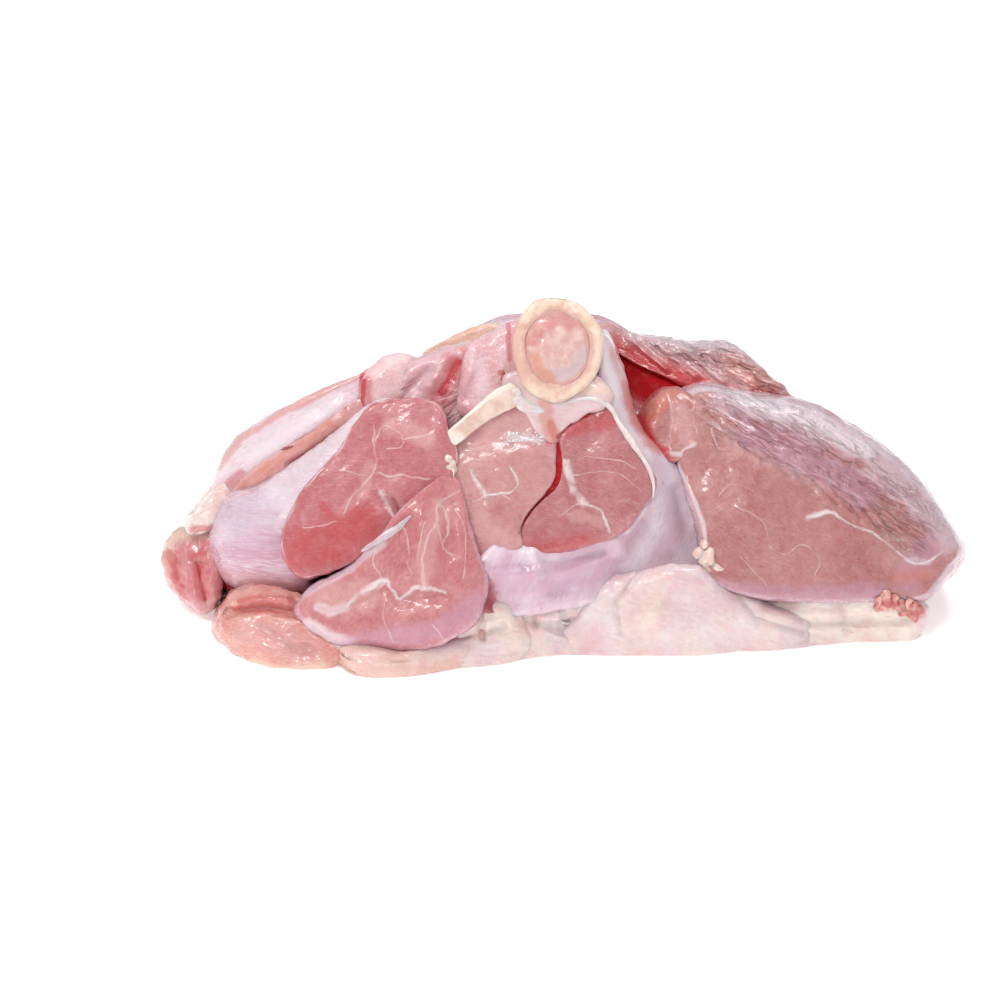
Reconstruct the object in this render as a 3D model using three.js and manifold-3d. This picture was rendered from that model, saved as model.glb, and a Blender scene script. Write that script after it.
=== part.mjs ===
// A raw, bone-in joint of milk-fed veal, sawn across the grain: a bundle of lean muscles round a marrow
// bone, with the edge of a flat blade bone beside it, lying on its own layer of fat.
// Millimetres, +Z up. X runs along the joint, and the sawn face looks towards -Y and leans back from upright.
// The origin is the middle of the footprint, on the surface that the joint lies on.

import * as THREE from 'three';
import { mergeVertices } from 'three/addons/utils/BufferGeometryUtils.js';
import Module from 'manifold-3d';

const wasm = await Module();
wasm.setup();

// Driving dimensions
const FACE_LEAN = THREE.MathUtils.degToRad(20);
const FACE = 76;                 // from the origin out to the plane of the sawn face, square to that plane
const HALF_LENGTH = 150;
const REAR = 76;                 // Y of the rear cut at the floor, in the middle of the joint
const REAR_LEAN = THREE.MathUtils.degToRad(17);
const REAR_ROUNDING = 38;        // how much further forward the rear cut ends at the two tips
const GAP = 0.3;                 // clearance between pieces that touch
const MIDDLE = [-0.2, -3.9];     // of the footprint, from the point that the muscles are drawn round

const SIN = Math.sin(FACE_LEAN);
const COS = Math.cos(FACE_LEAN);
const REAR_SLOPE = Math.tan(REAR_LEAN);

// A point of the joint from its place on the sawn face: x along it, v up it, w out of it.
function fromFace(x, v, w) {
  return new THREE.Vector3(x - MIDDLE[0], v * SIN - w * COS - MIDDLE[1], v * COS + w * SIN);
}

// The w of the rear cut behind the point x, v of the sawn face.
function rearAt(x, v) {
  const rearY = REAR - REAR_ROUNDING * (x / HALF_LENGTH) ** 2;
  return -(rearY - v * (SIN + REAR_SLOPE * COS)) / (COS - REAR_SLOPE * SIN);
}

function closedCurve(points) {
  const corners = points.map(([x, v]) => new THREE.Vector3(x, v, 0));
  return new THREE.CatmullRomCurve3(corners, true, 'catmullrom', 0.5);
}

function ellipse([x, v], [wide, high], count = 8) {
  return Array.from({ length: count }, (_, i) => {
    const angle = (i / count) * Math.PI * 2;
    return [x + wide * Math.cos(angle), v + high * Math.sin(angle)];
  });
}

// The rounding of an edge in one direction, from the roundings to its left, top, right and bottom.
function rimTowards([left, top, right, bottom], direction) {
  const side = direction.x < 0 ? left : right;
  const end = direction.y > 0 ? top : bottom;
  return side * direction.x ** 2 + end * direction.y ** 2;
}

// A turned profile from pole to pole with so many points, whose surface is then moved into shape.
function placeholder(count) {
  return Array.from({ length: count }, (_, j) => new THREE.Vector2(Math.sin((Math.PI * j) / (count - 1)), j));
}

// One line of stations of a body, in one direction from its centre line: out over the face, round the rim,
// along the flank, round the far rim and in over the far end. share is how far along the body each lies.
const FACE_RINGS = [0, 0.55];
const RIM_ANGLES = [0, 45, 90].map(THREE.MathUtils.degToRad);
const STATIONS = 2 * (FACE_RINGS.length + RIM_ANGLES.length) + 1;

function stations(size, frontRim, farRim, swell) {
  const end = (rim, share) => [
    ...FACE_RINGS.map((k) => ({ distance: k * (size - rim), share, inset: 0 })),
    ...RIM_ANGLES.map((angle) => {
      return { distance: size - rim * (1 - Math.sin(angle)), share, inset: rim * (1 - Math.cos(angle)) };
    }),
  ];
  const flank = { distance: size * (1 + swell), share: 0.5, inset: 0 };
  return [...end(frontRim, 0), flank, ...end(farRim, 1).reverse()];
}

// A closed body whose cross-section is an outline drawn on the sawn face, running back into the joint.
// face is how far its front lies out of the zero plane, dome how much the front swells, tilt its slope along
// x and v, rim the rounding of its edges, endRim that of its far end, reach the share of the way to the rear
// cut that it runs, swell the fattening of its flanks, sink how far its far end drops, and grow how much
// larger than the true body it is made, for cutting a bed.
function bundle({ outline, face = FACE, dome = 0, tilt = [0, 0], rim = [3, 3, 3, 3], endRim = 12, reach = 1,
  swell = 0.03, sink = 0, sides = 20, grow = 0 }) {
  const edge = closedCurve(outline).getPoints(sides).slice(0, sides);
  const centre = edge.reduce((sum, p) => sum.add(p), new THREE.Vector3()).divideScalar(sides);
  const body = new THREE.LatheGeometry(placeholder(STATIONS), sides);
  const position = body.getAttribute('position');

  for (let i = 0; i <= sides; i++) {
    const out = edge[i % sides].clone().sub(centre);
    const size = out.length() + grow;
    const direction = out.normalize();
    const frontRim = Math.min(rimTowards(rim, direction), 0.9 * size);
    const farRim = Math.min(endRim, 0.9 * size);
    stations(size, frontRim, farRim, swell).forEach(({ distance, share, inset }, j) => {
      const x = centre.x + direction.x * distance;
      const v = centre.y + direction.y * distance;
      const bulge = dome * (1 - Math.min(distance / size, 1) ** 2);
      const front = face + tilt[0] * (x - centre.x) + tilt[1] * (v - centre.y) + bulge;
      const far = THREE.MathUtils.lerp(front, rearAt(x, v - sink), reach) - grow;
      const w = THREE.MathUtils.lerp(front + grow, far, share) + (share === 1 ? inset : -inset);
      const p = fromFace(x, v - sink * ((front - w) / (front - far)) ** 2, w);
      position.setXYZ(i * STATIONS + j, p.x, p.y, p.z);
    });
  }
  return solidOf(body);
}

// The manifold solid of a closed geometry, whichever way its faces were wound.
function solidOf(geometry) {
  const bare = geometry.clone();
  bare.deleteAttribute('normal');
  bare.deleteAttribute('uv');
  const merged = mergeVertices(bare, 1e-4);
  const triVerts = new Uint32Array(merged.index.array);
  const vertProperties = new Float32Array(merged.getAttribute('position').array);
  const make = () => new wasm.Manifold(new wasm.Mesh({ numProp: 3, vertProperties, triVerts }));
  const solid = make();
  if (solid.volume() > 0) return solid;
  triVerts.reverse();
  return make();
}

function meshOf(name, solid, material) {
  const { numVert, numProp, vertProperties, triVerts } = solid.getMesh();
  const points = new Float32Array(numVert * 3);
  for (let i = 0; i < numVert; i++) {
    points.set(vertProperties.subarray(i * numProp, i * numProp + 3), i * 3);
  }
  const geometry = new THREE.BufferGeometry();
  geometry.setAttribute('position', new THREE.BufferAttribute(points, 3));
  geometry.setIndex(new THREE.BufferAttribute(triVerts, 1));
  geometry.computeVertexNormals();
  const mesh = new THREE.Mesh(geometry, material);
  mesh.name = name;
  return mesh;
}

// The muscles, each as it shows on the sawn face. Outlines run clockwise from the left, x and v in mm.
const MUSCLES = {
  core: {
    outline: [[-134, 14], [-112, 42], [-72, 72], [-36, 86], [0, 92], [30, 76], [66, 68], [104, 54],
      [140, 22], [122, 2], [50, 0], [-10, -4], [-60, -14], [-112, -6]],
    face: 44, rim: [22, 14, 20, 8], endRim: 16, reach: 0.88, sides: 22,
  },
  eye: {
    outline: [[-104, 24], [-98, 38], [-85, 53], [-78, 65], [-70, 73], [-58, 75], [-47, 73], [-43, 63],
      [-40, 54], [-45, 43], [-56, 33], [-66, 25], [-80, 14], [-96, 9], [-103, 16]],
    face: 75, rim: [2, 2, 2, 2], dome: 2, tilt: [0.08, 0], reach: 0.97,
  },
  fan: {
    outline: [[-99, -2], [-93, 6], [-81, 13], [-69, 22], [-61, 32], [-50, 43], [-44, 47], [-38, 43],
      [-35, 32], [-32, 20], [-29, 9], [-30, 0], [-34, -8], [-49, -17], [-68, -18], [-84, -15], [-95, -8]],
    face: 78, rim: [7, 2, 4, 5], dome: 5, tilt: [0.05, 0.02], reach: 0.98, sides: 22,
  },
  slit_bed: {
    outline: [[-22, 22], [-20, 36], [-8, 48], [-8, 60], [0, 69], [10, 69], [8, 60], [8, 44], [-4, 32],
      [-12, 20]],
    face: 74, rim: [2, 2, 2, 2], reach: 0.3, sides: 10,
  },
  centre_left: {
    outline: [[-44, 56], [-40, 62], [-30, 69], [-20, 73], [-10, 72], [-5.2, 67], [-3.2, 60],
      [-3.1, 52], [-3.8, 45], [-8.9, 38.6], [-14, 32.6], [-16.7, 26], [-16, 20], [-22, 15],
      [-31, 14], [-36, 26], [-41, 40]],
    face: 76, rim: [2, 2.5, 2, 2], dome: 2, reach: 0.97, sides: 18,
  },
  centre_right: {
    outline: [[-16, 25], [-12.5, 33], [-8, 38], [-2.4, 43], [-1, 51], [-1.4, 61], [5, 67], [15, 72],
      [20, 66], [28, 55], [34, 44], [29, 35], [22, 26], [11, 21], [-6, 17], [-14, 18]],
    face: 75, rim: [2, 2.5, 4, 4], dome: 2.5, tilt: [-0.05, 0], reach: 0.95, sides: 18,
  },
  collar: {
    outline: [[-21, 76], [-20, 84], [-4, 86], [10, 84], [15, 76], [17, 71], [14, 67], [8, 67], [2, 64],
      [-3, 59], [-8, 60], [-13, 69]],
    face: 76.5, rim: [2, 2, 3, 2], reach: 0.5, sides: 14,
  },
  valley: {
    outline: [[11, 78], [14, 97], [18, 97], [22, 86], [27, 72], [33, 60], [42, 47], [49, 35], [53, 19],
      [52, 6], [29, 0], [-1, -4], [-24, -6], [-32, -2], [-34, 17], [-24, 34], [-4, 50]],
    face: 65, rim: [4, 4, 8, 4], tilt: [-0.3, 0.04], sides: 22,
  },
  rump: {
    outline: [[42.4, 59], [43, 71], [48.5, 78.5], [58, 80], [71, 77], [91, 74], [110, 65], [127, 53],
      [140, 39], [150, 24], [152, 17], [144, 7], [135, 0], [112, -1], [82, 0], [63, 4], [55, 12],
      [52, 30], [46.6, 44], [43, 52]],
    face: 56, rim: [3, 13, 12, 4], dome: 5, tilt: [-0.1, -0.1], endRim: 22, sides: 26,
  },
  knob: {
    outline: [[27, 64], [31, 72], [36.5, 77.5], [43, 79.5], [49, 77], [54, 70], [54, 62], [50, 55],
      [39, 52], [32, 57]],
    face: 58.6, rim: [8, 7, 2, 2], dome: 0.5, tilt: [-0.02, -0.08], reach: 0.4, sides: 12,
  },
  flap: {
    outline: [[13, 103], [17, 106], [30, 101], [50, 99], [65, 99], [75, 90], [86, 80], [91, 75], [86, 72],
      [70, 74], [53, 80], [34, 87], [20, 95]],
    face: 24, rim: [2, 7, 3, 2], tilt: [-0.1, -0.5], endRim: 8,
  },
  saddle: {
    outline: [[-47, 76], [-44, 96], [-32, 103], [-21, 107], [0, 109], [17, 106], [29, 97], [34, 76],
      [15, 61], [-16, 61]],
    face: 20, rim: [8, 6, 8, 6], endRim: 14, reach: 0.98, sides: 18,
  },
  hollow: {
    outline: [[11, 102], [31, 99], [54, 91], [62, 76], [54, 57], [31, 53], [11, 65]],
    face: 24, rim: [5, 5, 5, 5], tilt: [0.1, -0.2], reach: 0.93, sides: 12,
  },
  neck: {
    outline: [[-39, 73], [-37, 84], [-34, 94], [-27, 99], [-19, 103], [-15, 97], [-16, 85], [-20, 79],
      [-29, 74], [-35, 70]],
    face: 66, rim: [5, 5, 2, 4], dome: 2, reach: 0.6, sides: 14,
  },
  top_left: {
    outline: [[-75, 76], [-73, 84], [-67, 90], [-58, 91], [-57, 86], [-59, 78], [-64, 73], [-72, 71]],
    face: 60, rim: [3, 5, 3, 3], dome: 2, reach: 0.9, sides: 12,
  },
  top_middle: {
    outline: [[-63, 74], [-60, 84], [-56, 89], [-46, 93], [-36, 96], [-32, 93], [-33, 81], [-38, 71],
      [-42, 60], [-47, 61], [-50, 70]],
    face: 61, rim: [4, 6, 3, 3], dome: 2, reach: 0.96, sides: 14,
  },
  top_edge: {
    outline: [[-53, 93], [-47, 98], [-38, 101], [-27, 104], [-24, 102], [-29, 97], [-40, 90], [-48, 88]],
    face: 32, rim: [2, 2, 2, 2], reach: 0.93, sides: 12,
  },
  strip_top: {
    outline: [[-134, 40], [-130, 51], [-123, 62], [-113, 69], [-99, 75], [-82, 82], [-72, 86], [-71, 80],
      [-76, 72.5], [-88, 67], [-102, 58], [-114, 50], [-123, 42], [-129, 37]],
    face: 46, rim: [8, 4, 3, 3], dome: 3, tilt: [0.25, 0.1], reach: 0.96, sides: 18,
  },
  strip_low: {
    outline: [[-128, 36], [-120, 47], [-106, 56], [-93, 64], [-82, 72], [-74, 77], [-70, 72], [-78, 62],
      [-93, 52], [-106, 43], [-118, 37]],
    face: 52, rim: [5, 3, 3, 3], dome: 3, tilt: [0.25, 0.1], reach: 0.9, sides: 16,
  },
  strip_back: {
    outline: [[-132, 42], [-127, 53], [-120, 62], [-109, 69], [-97, 76], [-84, 82], [-72, 88], [-68, 80],
      [-81, 72], [-96, 64], [-112, 54], [-123, 44]],
    face: 30, rim: [6, 5, 3, 3], tilt: [0.15, 0.1], sides: 16,
  },
  shank: {
    outline: [[-136, 23], [-134, 33], [-128, 40], [-116, 43], [-104, 49], [-91, 59], [-77, 69], [-67, 74],
      [-59, 71], [-71, 49], [-87, 23], [-94, 8], [-101, 5], [-115, 5], [-128, 8], [-134, 14]],
    face: 62, rim: [34, 8, 4, 16], dome: 3, tilt: [0.24, 0], sides: 24,
  },
  heel: {
    outline: [[-131, -10], [-127, -1], [-120, 3], [-109, 4], [-97, 1], [-88, -5], [-82, -14], [-83, -21],
      [-91, -25], [-106, -26], [-119, -22], [-127, -17]],
    face: 66, rim: [9, 3, 4, 6], dome: 2, tilt: [0.2, -0.15], sides: 18,
  },
  tail: {
    outline: [[-154, 12], [-151, 20], [-146, 27], [-138, 29], [-132, 24], [-130, 11], [-131, 1],
      [-137, -5], [-144, -2], [-151, 5]],
    face: 30, rim: [9, 8, 4, 8], dome: 3, tilt: [0.6, 0], sides: 16,
  },
  scrap: {
    outline: [[-139, 37], [-135, 42], [-129, 43], [-126.5, 37.5], [-129, 30], [-135, 24.6], [-141, 24],
      [-144, 28]],
    face: 40, rim: [4, 4, 3, 4], dome: 1, reach: 0.5, sides: 10,
  },
};

// The bones: a marrow bone whose ring stands a little proud of the meat, its marrow, and the edge of a flat
// blade bone.
const RING_CENTRE = [-2.5, 93.5];
const BONE = {
  outline: ellipse(RING_CENTRE, [16.5, 19.5]),
  face: FACE + 4, rim: [2, 2, 2, 2], endRim: 2, reach: 1.02, swell: -0.1, sink: 14, sides: 24,
};
const BORE = { ...BONE, outline: ellipse(RING_CENTRE, [11.5, 13.5]), rim: [1, 1, 1, 1], endRim: 1 };
const MARROW_RECESS = 1;
const BLADE = {
  outline: [[-43.2, 61.9], [-42.1, 63.8], [-35.4, 69.7], [-27.7, 76.4], [-22.5, 79.7], [-18.8, 81.2],
    [-15.8, 77.5], [-16.6, 73], [-22.1, 70.1], [-27.3, 66.7], [-33.2, 63], [-38.4, 58.6],
    [-41.4, 57.9]],
  face: FACE + 2, rim: [1.5, 1.5, 1.5, 1.5], endRim: 3, reach: 0.5, sides: 16,
};

// The layer of fat underneath: its outline on the floor, seen from above, and its rolls along the front.
const FAT_OUTLINE = [[-84, -74], [-76, -83], [-58, -83], [-42, -76], [-30, -70], [-18, -60], [0, -57],
  [28, -56], [48, -47], [64, -43], [86, -45], [112, -46], [132, -40], [139, -20], [136, 0], [116, 36],
  [60, 56], [-30, 58], [-96, 42], [-120, 16], [-108, -30], [-92, -56]];
const FAT_ROLLS = [
  { x: -64, width: 30, height: 11 },
  { x: 30, width: 34, height: 29 },
  { x: 105, width: 36, height: 13 },
];
const FAT_REAR_HEIGHT = 10;
const FAT_SIDES = 52;
// Its section, from the middle of the underside to that of the top: how far out, and how far up.
const FAT_SECTION = [
  [0, 0], [0.5, 0], [0.97, 0], [1, 0.25], [1, 0.6], [0.97, 0.9], [0.9, 1], [0.6, 1], [0, 1],
];

function fatHeight(x, y) {
  const weights = FAT_ROLLS.map((roll) => Math.exp(-(((x - roll.x) / roll.width) ** 2)));
  const total = weights.reduce((sum, weight) => sum + weight);
  const front = FAT_ROLLS.reduce((sum, roll, i) => sum + (roll.height * weights[i]) / total, 0);
  return THREE.MathUtils.lerp(FAT_REAR_HEIGHT, front, THREE.MathUtils.smoothstep(-y, -10, 40));
}

function fatLayer(grow = 0) {
  const edge = closedCurve(FAT_OUTLINE).getPoints(FAT_SIDES).slice(0, FAT_SIDES);
  const body = new THREE.LatheGeometry(placeholder(FAT_SECTION.length), FAT_SIDES);
  const position = body.getAttribute('position');
  for (let i = 0; i <= FAT_SIDES; i++) {
    const out = edge[i % FAT_SIDES];
    FAT_SECTION.forEach(([spread, up], j) => {
      const stretch = spread * (1 + grow / out.length());
      const x = out.x * stretch;
      const y = out.y * stretch;
      const z = up * (fatHeight(x, y) + grow) - (up === 0 ? grow : 0);
      position.setXYZ(i * FAT_SECTION.length + j, x - MIDDLE[0], y - MIDDLE[1], z);
    });
  }
  return solidOf(body);
}

// Everything below the surface that the joint lies on, for cutting it away, or so much further down.
const BELOW = 600;
function below(drop = 0) {
  return solidOf(new THREE.BoxGeometry(BELOW, BELOW, BELOW).translate(0, 0, -BELOW / 2 - drop));
}

// Soft lobes in which the fat bulges out from under the muscles, drawn on the sawn face as they are.
const LOBE = { reach: 0.25, swell: 0, sides: 14 };
const FAT_LOBES = [
  {
    outline: [[-6, -14], [2, -2], [12, 7], [30, 11], [50, 12], [64, 6], [82, -2], [96, -8], [92, -22],
      [40, -27], [2, -24]],
    face: 59, rim: [12, 7, 16, 3], dome: 4, tilt: [-0.06, 0.3],
  },
  {
    outline: [[52, -8], [66, 1], [86, 2.5], [112, 2], [130, 3], [138, -3], [136, -14], [128, -24],
      [60, -26]],
    face: 47, rim: [12, 4, 7, 3], dome: 3, tilt: [-0.05, 0.3],
  },
  {
    outline: [[-26, -12], [-20, -1], [-8, 4], [6, 5], [16, 0], [18, -14], [8, -26], [-20, -28]],
    face: 62, rim: [7, 5, 9, 3], dome: 2, tilt: [-0.15, 0.3],
  },
  {
    outline: [[-42, -14], [-36, -4], [-29, 0], [-22, 0], [-14, -8], [-12, -18], [-22, -30], [-40, -30]],
    face: 70, rim: [6, 5, 8, 3], dome: 2, tilt: [-0.25, 0.3],
  },
];

function fat(grow = 0) {
  const lobes = FAT_LOBES.map((lobe) => bundle({ ...LOBE, ...lobe, grow }));
  return lobes.reduce((all, one) => all.add(one), fatLayer(grow)).subtract(below(grow));
}

const boneBed = bundle({ ...BONE, grow: GAP });
const bladeBed = bundle({ ...BLADE, grow: GAP });
const meat = Object.values(MUSCLES).map((muscle) => bundle(muscle)).reduce((all, one) => all.add(one))
  .subtract(boneBed).subtract(bladeBed).subtract(fat(GAP)).subtract(below());
const bone = bundle(BONE).subtract(bundle({ ...BORE, grow: GAP }));
const marrow = bundle({ ...BORE, face: BORE.face - MARROW_RECESS });

const lean = new THREE.MeshStandardMaterial({ color: 0xd08a86, roughness: 0.4, metalness: 0 });
const boneWhite = new THREE.MeshStandardMaterial({ color: 0xf0d9c4, roughness: 0.5, metalness: 0 });
const marrowPink = new THREE.MeshStandardMaterial({ color: 0xecc3b4, roughness: 0.45, metalness: 0 });
const fatWhite = new THREE.MeshStandardMaterial({ color: 0xf2dcd8, roughness: 0.4, metalness: 0 });

const joint = new THREE.Group();
joint.add(meshOf('meat', meat, lean));
joint.add(meshOf('marrow_bone', bone, boneWhite));
joint.add(meshOf('marrow', marrow, marrowPink));
joint.add(meshOf('blade_bone', bundle(BLADE).subtract(boneBed), boneWhite));
joint.add(meshOf('fat_layer', fat(), fatWhite));

export default joint;
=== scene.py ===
"""A raw, bone-in joint of pale veal, sawn across the grain and lying on its own layer of fat.

Places on the joint are given on its sawn face, in millimetres: x along the face, v up it and w out of it.
The face leans back from upright, and the muscles run from it to a second cut at the rear.
"""

import math

import bmesh
import bpy
import numpy as np
from mathutils import Matrix, Vector


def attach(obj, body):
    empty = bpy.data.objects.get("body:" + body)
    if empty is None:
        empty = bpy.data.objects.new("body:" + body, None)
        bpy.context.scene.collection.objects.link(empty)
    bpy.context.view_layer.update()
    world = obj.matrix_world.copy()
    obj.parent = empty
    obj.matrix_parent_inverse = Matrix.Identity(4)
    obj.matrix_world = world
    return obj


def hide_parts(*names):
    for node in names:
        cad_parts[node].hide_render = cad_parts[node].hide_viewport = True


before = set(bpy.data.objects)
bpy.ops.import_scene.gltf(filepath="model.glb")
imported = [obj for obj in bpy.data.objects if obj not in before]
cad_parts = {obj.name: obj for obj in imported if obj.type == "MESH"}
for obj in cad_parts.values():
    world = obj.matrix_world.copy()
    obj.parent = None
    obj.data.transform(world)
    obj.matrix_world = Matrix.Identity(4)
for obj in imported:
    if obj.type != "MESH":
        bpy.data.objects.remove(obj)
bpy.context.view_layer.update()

# The inner muscles: the dark lean core of the joint, which shows only at the bottom of the seams.
# Each muscle is one closed body with a smooth outline, rounded at both cuts, fattened a little between them
# and roughened, as soft meat is. Its finish knows how far a point lies inside the cut or down the flank.
FACE_LEAN = math.radians(20)
SIN, COS = math.sin(FACE_LEAN), math.cos(FACE_LEAN)
MIDDLE = (-0.2, -3.9)                 # of the footprint, from the point that the muscles are drawn round
REAR, REAR_ROUNDING, HALF_LENGTH = 76, 38, 150
REAR_SLOPE = math.tan(math.radians(17))
FLOOR_CLEARANCE = 0.4
ON_END = 0.9999                       # on the ends of the cube that a body starts as, which is 2 high
MM = 0.001


def from_face(x, v, w):
    """Points in metres from their places on the sawn face."""
    depth = v * SIN - w * COS
    return np.stack([x - MIDDLE[0], depth - MIDDLE[1], v * COS + w * SIN], axis=-1) * MM


def rear_at(x, v):
    """The w of the rear cut behind the places x, v of the sawn face."""
    rear = REAR - REAR_ROUNDING * (x / HALF_LENGTH) ** 2
    return -(rear - v * (SIN + REAR_SLOPE * COS)) / (COS - REAR_SLOPE * SIN)


def smooth_curve(a, b, c, d, steps):
    """The curve from each corner in b to the one in c. a and d hold the corners before and after them."""
    t = np.linspace(0, 1, steps, endpoint=False)[:, None, None]
    curve = b + (c - a) * t / 2 + (2 * a - 5 * b + 4 * c - d) * t**2 / 2 + (3 * b - a - 3 * c + d) * t**3 / 2
    return curve.transpose(1, 0, 2).reshape(-1, 2)


def smooth_outline(corners, steps=16):
    """The closed clockwise curve through the corners, and how far round it each point lies, 0 to 1."""
    b = np.array(corners, float)
    curve = smooth_curve(np.roll(b, 1, 0), b, np.roll(b, -1, 0), np.roll(b, -2, 0), steps)
    curve = np.vstack([curve, curve[:1]])
    if np.sum(curve[:-1, 0] * curve[1:, 1] - curve[1:, 0] * curve[:-1, 1]) > 0:
        curve = curve[::-1]
    run = np.concatenate([[0], np.cumsum(np.linalg.norm(np.diff(curve, axis=0), axis=1))])
    return curve, run / run[-1]


def unevenness(places, size, seed, waves=28):
    """A smooth random field over the places, about -1 to 1, whose lumps are as large as size."""
    draw = np.random.default_rng(seed)
    directions = draw.normal(size=(places.shape[1], waves)) * 1.6 / size
    phases = draw.uniform(0, 2 * math.pi, waves)
    return np.sin(places @ directions + phases).sum(1) * math.sqrt(0.5 / waves)


def ways_from_line(places, points):
    """Each stretch of the line through the points, and the way from it to each of the places."""
    for start, end in zip(points[:-1], points[1:]):
        step = end - start
        along = np.clip((places - start) @ step / (step @ step), 0, 1)
        yield step, places - start - along[:, None] * step


def distance_to_line(places, line):
    """How far each place lies from a line that runs through the given points."""
    ways = ways_from_line(places, np.array(line, float))
    return np.min([np.linalg.norm(away, axis=1) for _, away in ways], axis=0)


def mesh_data(mesh, name):
    """The mesh that bmesh holds, as mesh data of that name."""
    data = bpy.data.meshes.new(name)
    mesh.to_mesh(data)
    mesh.free()
    return data


def points_of(data):
    """The points of the mesh, in metres, one in each row."""
    points = np.empty(len(data.vertices) * 3, np.float32)
    data.vertices.foreach_get("co", points)
    return points.reshape(-1, 3)


def closed_body(name, outline, near, far, rims, swell, cells):
    """A closed mesh between two surfaces over an outline, and the place of each of its points.

    It starts as a cube of even squares. near and far give the heights of its two ends, rims the rounding of
    their edges, all round or towards the left, top, right and bottom. The last array that it gives back is
    how far inside the edge of an end a point lies, or, below 0, how far down the flank.
    """
    mesh = bmesh.new()
    bmesh.ops.create_cube(mesh, size=2)
    bmesh.ops.subdivide_edges(mesh, edges=mesh.edges, cuts=cells - 1, use_grid_fill=True)
    data = mesh_data(mesh, name)
    cube = points_of(data).astype(float)

    curve, run = smooth_outline(outline)
    centre = np.average((curve[:-1] + curve[1:]) / 2, axis=0, weights=np.diff(run))
    around = (0.5 - np.arctan2(cube[:, 1], cube[:, 0]) / (2 * math.pi)) % 1
    edge = np.stack([np.interp(around, run, curve[:, i]) for i in (0, 1)], axis=1)
    out = edge - centre
    size = np.linalg.norm(out, axis=1)
    out /= size[:, None]

    def rim_of(rim):
        left, top, right, bottom = np.broadcast_to(rim, 4)
        side = np.where(out[:, 0] < 0, left, right)
        end = np.where(out[:, 1] > 0, top, bottom)
        return np.minimum(side * out[:, 0] ** 2 + end * out[:, 1] ** 2, 0.9 * size)

    ring = np.abs(cube[:, :2]).max(1)
    on_end = np.abs(cube[:, 2]) > ON_END
    near_rim, far_rim = rim_of(rims[0]), rim_of(rims[1])
    rim = np.where(cube[:, 2] > 0, near_rim, far_rim)
    over = ring * (size + (math.pi / 2 - 1) * rim)
    flat = np.minimum(over, size - rim)
    turn = (over - flat) / rim
    share = (1 - cube[:, 2]) / 2
    distance = np.where(on_end, flat + rim * np.sin(turn), size * (1 + swell * np.sin(math.pi * share)))
    inset = np.where(on_end, rim * (1 - np.cos(turn)), 0)

    across = centre + out * distance[:, None]
    top, bottom = (end(across) if callable(end) else end for end in (near, far))
    flank = (top - near_rim) * (1 - share) + (bottom + far_rim) * share
    height = np.where(on_end, np.where(cube[:, 2] > 0, top - inset, bottom + inset), flank)
    down = np.minimum(top - height, height - bottom)
    return data, across, height, size - distance - down


def set_points(data, points):
    """Moves the points of the mesh to those places, in metres."""
    data.vertices.foreach_set("co", points.astype(np.float32).ravel())
    data.update()


def raise_surface(data, amount):
    """Moves each point of the mesh out along its normal by so many millimetres."""
    normals = np.empty(len(data.vertices) * 3, np.float32)
    data.vertex_normals.foreach_get("vector", normals)
    set_points(data, points_of(data) + normals.reshape(-1, 3) * (amount * MM)[:, None])


def keep_field(data, name, values):
    """Keeps one value for each point on the mesh, where its material finds them under that name."""
    data.attributes.new(name, "FLOAT", "POINT").data.foreach_set("value", values.astype(np.float32))


def cut_level(data, height):
    """Cuts away what lies under that height, and closes the cut."""
    mesh = bmesh.new()
    mesh.from_mesh(data)
    everything = mesh.verts[:] + mesh.edges[:] + mesh.faces[:]
    bmesh.ops.bisect_plane(mesh, geom=everything, plane_co=(0, 0, height), plane_no=(0, 0, 1),
                           clear_inner=True)
    bmesh.ops.contextual_create(mesh, geom=[edge for edge in mesh.edges if edge.is_boundary])
    bmesh.ops.recalc_face_normals(mesh, faces=mesh.faces)
    mesh.to_mesh(data)
    mesh.free()


def add_object(name, data):
    """Places the data in the scene as an object of that name."""
    thing = bpy.data.objects.new(name, data)
    bpy.context.scene.collection.objects.link(thing)
    return thing


def add_piece(data, material, node):
    """Places a finished mesh in the scene as a piece that rides on the joint and stands for the node."""
    piece = add_object(data.name, data)
    data.materials.append(material)
    data.polygons.foreach_set("use_smooth", np.ones(len(data.polygons), bool))
    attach(piece, "root")
    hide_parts(node)


ROOM_LIGHT = 0.8             # the room is so bright that a colour shows lighter than it is


def rgb(red, green, blue):
    """A colour from how it shows on a screen in the light of the room, 0 to 255."""
    return (*(ROOM_LIGHT * ((c / 255 + 0.055) / 1.055) ** 2.4 for c in (red, green, blue)), 1)


MOIST_IOR = 1.42


class Socket:
    """A shader socket that Python's operators work on: each operator adds its Math node."""

    def __init__(self, finish, socket):
        self.finish = finish
        self.socket = socket

    def math(self, operation, *others):
        return self.finish.add("Math", {"operation": operation}, dict(enumerate((self, *others))))

    def __add__(self, other):
        return self.math("ADD", other)

    def __sub__(self, other):
        return self.math("SUBTRACT", other)

    def __rsub__(self, other):
        return self.finish.add("Math", {"operation": "SUBTRACT"}, {0: other, 1: self})

    def __mul__(self, other):
        return self.math("MULTIPLY", other)

    __radd__ = __add__
    __rmul__ = __mul__


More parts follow.
